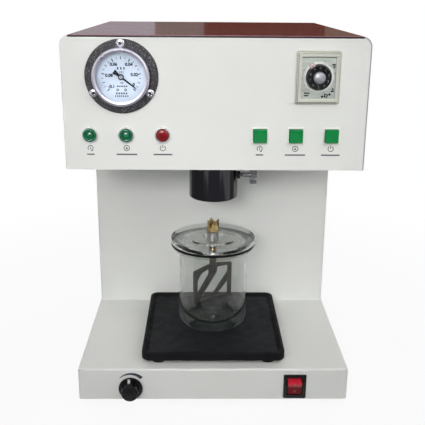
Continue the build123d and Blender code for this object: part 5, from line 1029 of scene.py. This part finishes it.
for name, (outer, inner, finish) in lip["bands"].items():
    lines = [cornerArc(90 + lip["sweep"], 90, lip["corner"] + inset) for inset in (outer, inner)]
    lines = [np.concatenate([line, (line * [-1, 1])[::-1]]) for line in lines]
    built(name, strip(*lines), ahead(0, 0, lip["out"]), "red_paint", finish=finish)
for name, (side, finish) in lip["sides"].items():
    lines = [cornerArc(180, 90 + lip["sweep"], lip["corner"] + inset) for inset in lip["sideInsets"]]
    lines = [np.concatenate([[(line[0, 0], lip["low"])], line]) * [-side, 1] for line in lines]
    built(name, strip(*lines), ahead(0, 0, lip["sideOut"]), "white_paint", finish=finish)
beadRings = np.array([[(side * lip["beadHalf"], up, out) for up, out in lip["bead"]] for side in (-1, 1)])
built("panelBead", capped(beadRings), ahead(0, 0), "white_paint", sharp=40)
print("head edges made")


# Camera at the machine's front, a little above it, looking down by its pitch.
lensView = {"place": (-14.026, -897.10, 472.184), "pitch": 17.51208, "yaw": -0.899, "roll": 0.44743,
            "lens": 59.0447, "sensor": 36.0, "nearest": 50.0}
camera = linked("camera", bpy.data.cameras.new("camera"))
camera.data.sensor_fit = "HORIZONTAL"
camera.data.sensor_width = lensView["sensor"]
camera.data.lens = lensView["lens"]
camera.data.clip_start = lensView["nearest"] * millimetre
camera.matrix_world = (
    Matrix.Translation([v * millimetre for v in lensView["place"]])
    @ Matrix.Rotation(math.radians(lensView["yaw"]), 4, "Z")
    @ Matrix.Rotation(math.radians(90 - lensView["pitch"]), 4, "X")
    @ Matrix.Rotation(math.radians(lensView["roll"]), 4, "Z"))
bpy.context.scene.camera = camera


# Factor = 1 for rays from the camera, from a mirror or through glass, 0 for all others.
def seenDirectly(tree):
    path = addNode(tree, "ShaderNodeLightPath")
    total = path.outputs["Is Camera Ray"]
    for name in ("Is Glossy Ray", "Is Transmission Ray"):
        inputs = {0: total, 1: path.outputs[name]}
        total = addNode(tree, "ShaderNodeMath", inputs, operation="ADD", use_clamp=True).outputs[0]
    return total


def bareMaterial(name):
    material = bpy.data.materials.new(name)
    material.use_nodes = True
    material.node_tree.nodes.remove(material.node_tree.nodes["Principled BSDF"])
    return material, material.node_tree


# Floor = diffuse shade and white glow mixed where it is seen, the glow's share rising outward
# over the distances given in metres, as is everything in the studio.
room = {"fill": 0.30, "floor": (238, 239, 240), "floorPatch": (234, 235, 236), "patch": 60.0,
        "bounce": (128, 128, 128), "glow": (0.90, 1.0), "glowFrom": 0.30, "glowTo": 0.75, "reach": 6.0}
fullWhite = {"Color": (1, 1, 1, 1), "Strength": 1.0}
world = bpy.data.worlds.new("studio")
bpy.context.scene.world = world
world.use_nodes = True
tree = world.node_tree
fill = tree.nodes["Background"]
fill.inputs["Color"].default_value = fullWhite["Color"]
fill.inputs["Strength"].default_value = room["fill"]
white = addNode(tree, "ShaderNodeBackground", fullWhite)
mixedSurface(tree, seenDirectly(tree), fill.outputs[0], white.outputs[0], "World Output")

floorMaterial, tree = bareMaterial("studioFloor")
patches = ranged(tree, noise(tree, room["patch"]), *mottle["wear"], 0.0, 1.0)
tone = blended(tree, patches, linear(room["floor"]), linear(room["floorPatch"]))
tone = blended(tree, seenDirectly(tree), linear(room["bounce"]), tone)
shade = addNode(tree, "ShaderNodeBsdfDiffuse", {"Color": tone})
glow = addNode(tree, "ShaderNodeEmission", fullWhite)
away = addNode(tree, "ShaderNodeVectorMath", {0: objectPlace(tree)}, operation="LENGTH").outputs["Value"]
share = ranged(tree, away, room["glowFrom"], room["glowTo"], *room["glow"])
share = addNode(tree, "ShaderNodeMath", {0: share, 1: seenDirectly(tree)}, operation="MULTIPLY").outputs[0]
mixedSurface(tree, share, shade.outputs[0], glow.outputs[0])


# A flat quad given by its middle and two half sides.
def card(name, centre, sideA, sideB, material):
    centre, sideA, sideB = (np.array(v, float) for v in (centre, sideA, sideB))
    corners = [centre - sideA - sideB, centre + sideA - sideB, centre + sideA + sideB, centre - sideA + sideB]
    mesh = bpy.data.meshes.new(name)
    mesh.from_pydata([corner.tolist() for corner in corners], [], [(0, 1, 2, 3)])
    mesh.materials.append(material)
    sheet = linked(name, mesh)
    return sheet


card("floor", (0, 0, 0), (room["reach"], 0, 0), (0, room["reach"], 0), floorMaterial)


def flatGlow(name, level):
    material, tree = bareMaterial(name)
    glow = addNode(tree, "ShaderNodeEmission", {"Color": (*level, 1), "Strength": 1.0})
    tree.links.new(glow.outputs[0], tree.nodes["Material Output"].inputs["Surface"])
    return material


# Cards that only mirrors see, behind the hood and round the machine: middle, two half sides, and
# level of red, green and blue.
cards = {
    "hoodLilac": ((-0.4845, 1.0, 0.56), (0.3455, 0, 0), (0, 0, 0.16), (0.36, 0.35, 0.385)),
    "hoodBrown": ((-0.0747, 1.0, 0.56), (0.0647, 0, 0), (0, 0, 0.16), (0.17, 0.15, 0.135)),
    "hoodDark": ((0.1495, 1.0, 0.56), (0.1595, 0, 0), (0, 0, 0.16), (0.085, 0.034, 0.023)),
    "hoodTan": ((0.4545, 1.0, 0.56), (0.1455, 0, 0), (0, 0, 0.16), (0.15, 0.115, 0.083)),
    "frontDark": ((0.02, -0.61, 0.20), (0.272, 0, 0), (0, 0, 0.15), (0.28, 0.28, 0.31)),
    "floorDark": ((0.0, -0.56, 0.002), (0.7, 0, 0), (0, 0.34, 0), (0.27, 0.27, 0.28)),
    "leftDark": ((-0.39, 0.08, 0.17), (0, 0.53, 0), (0, 0, 0.18), (0.24, 0.24, 0.25)),
    "rightDark": ((0.50, 0.0, 0.17), (0, 0.13, 0), (0, 0, 0.18), (0.34, 0.34, 0.31)),
    "roomDark": ((0.0, -2.6, 1.3), (2.6, 0, 0), (0, 0, 0.5), (0.30, 0.30, 0.32)),
}
for name, (centre, sideA, sideB, level) in cards.items():
    flag = card(name, centre, sideA, sideB, flatGlow(name, level))
    flag.visible_camera = flag.visible_diffuse = flag.visible_transmission = False
    flag.visible_shadow = flag.visible_volume_scatter = False

# Soft studio lamps: place, point looked at, width, height, spread of the beam, watts.
lampPlan = {
    "key": ((-0.25, -1.12, 1.15), (0.0, -0.07, 0.25), 0.9, 0.6, 180, 2.55),
    "right": ((0.8, -0.87, 1.0), (0.0, -0.07, 0.25), 0.8, 0.8, 180, 3.68),
    "front": ((-0.25, -1.45, 0.70), (0.0, 0.03, 0.20), 0.6, 0.3, 40, 0.64),
    "rearLeft": ((-1.2, 1.5, 1.2), (0.0, 0.1, 0.25), 0.9, 0.9, 180, 10.0),
    "rearRight": ((1.2, 1.5, 1.2), (0.0, 0.1, 0.25), 0.9, 0.9, 180, 10.0),
}
for name, (place, target, width, height, spread, power) in lampPlan.items():
    light = bpy.data.lights.new(name, "AREA")
    light.shape = "RECTANGLE"
    light.size, light.size_y, light.energy = width, height, power
    light.spread = math.radians(spread)
    lamp = linked(name, light)
    lamp.visible_glossy = not name.startswith("rear")
    way = np.array(place) - np.array(target)
    sideways = np.cross((0, 0, 1), way)
    sideways = sideways / np.linalg.norm(sideways)
    out = way / np.linalg.norm(way)
    turn = np.eye(4)
    turn[:3, :3] = np.stack([sideways, np.cross(out, sideways), out], axis=1)
    turn[:3, 3] = place
    lamp.matrix_world = Matrix(turn.tolist())

bpy.context.scene.view_settings.view_transform = "Standard"
print("studio made")
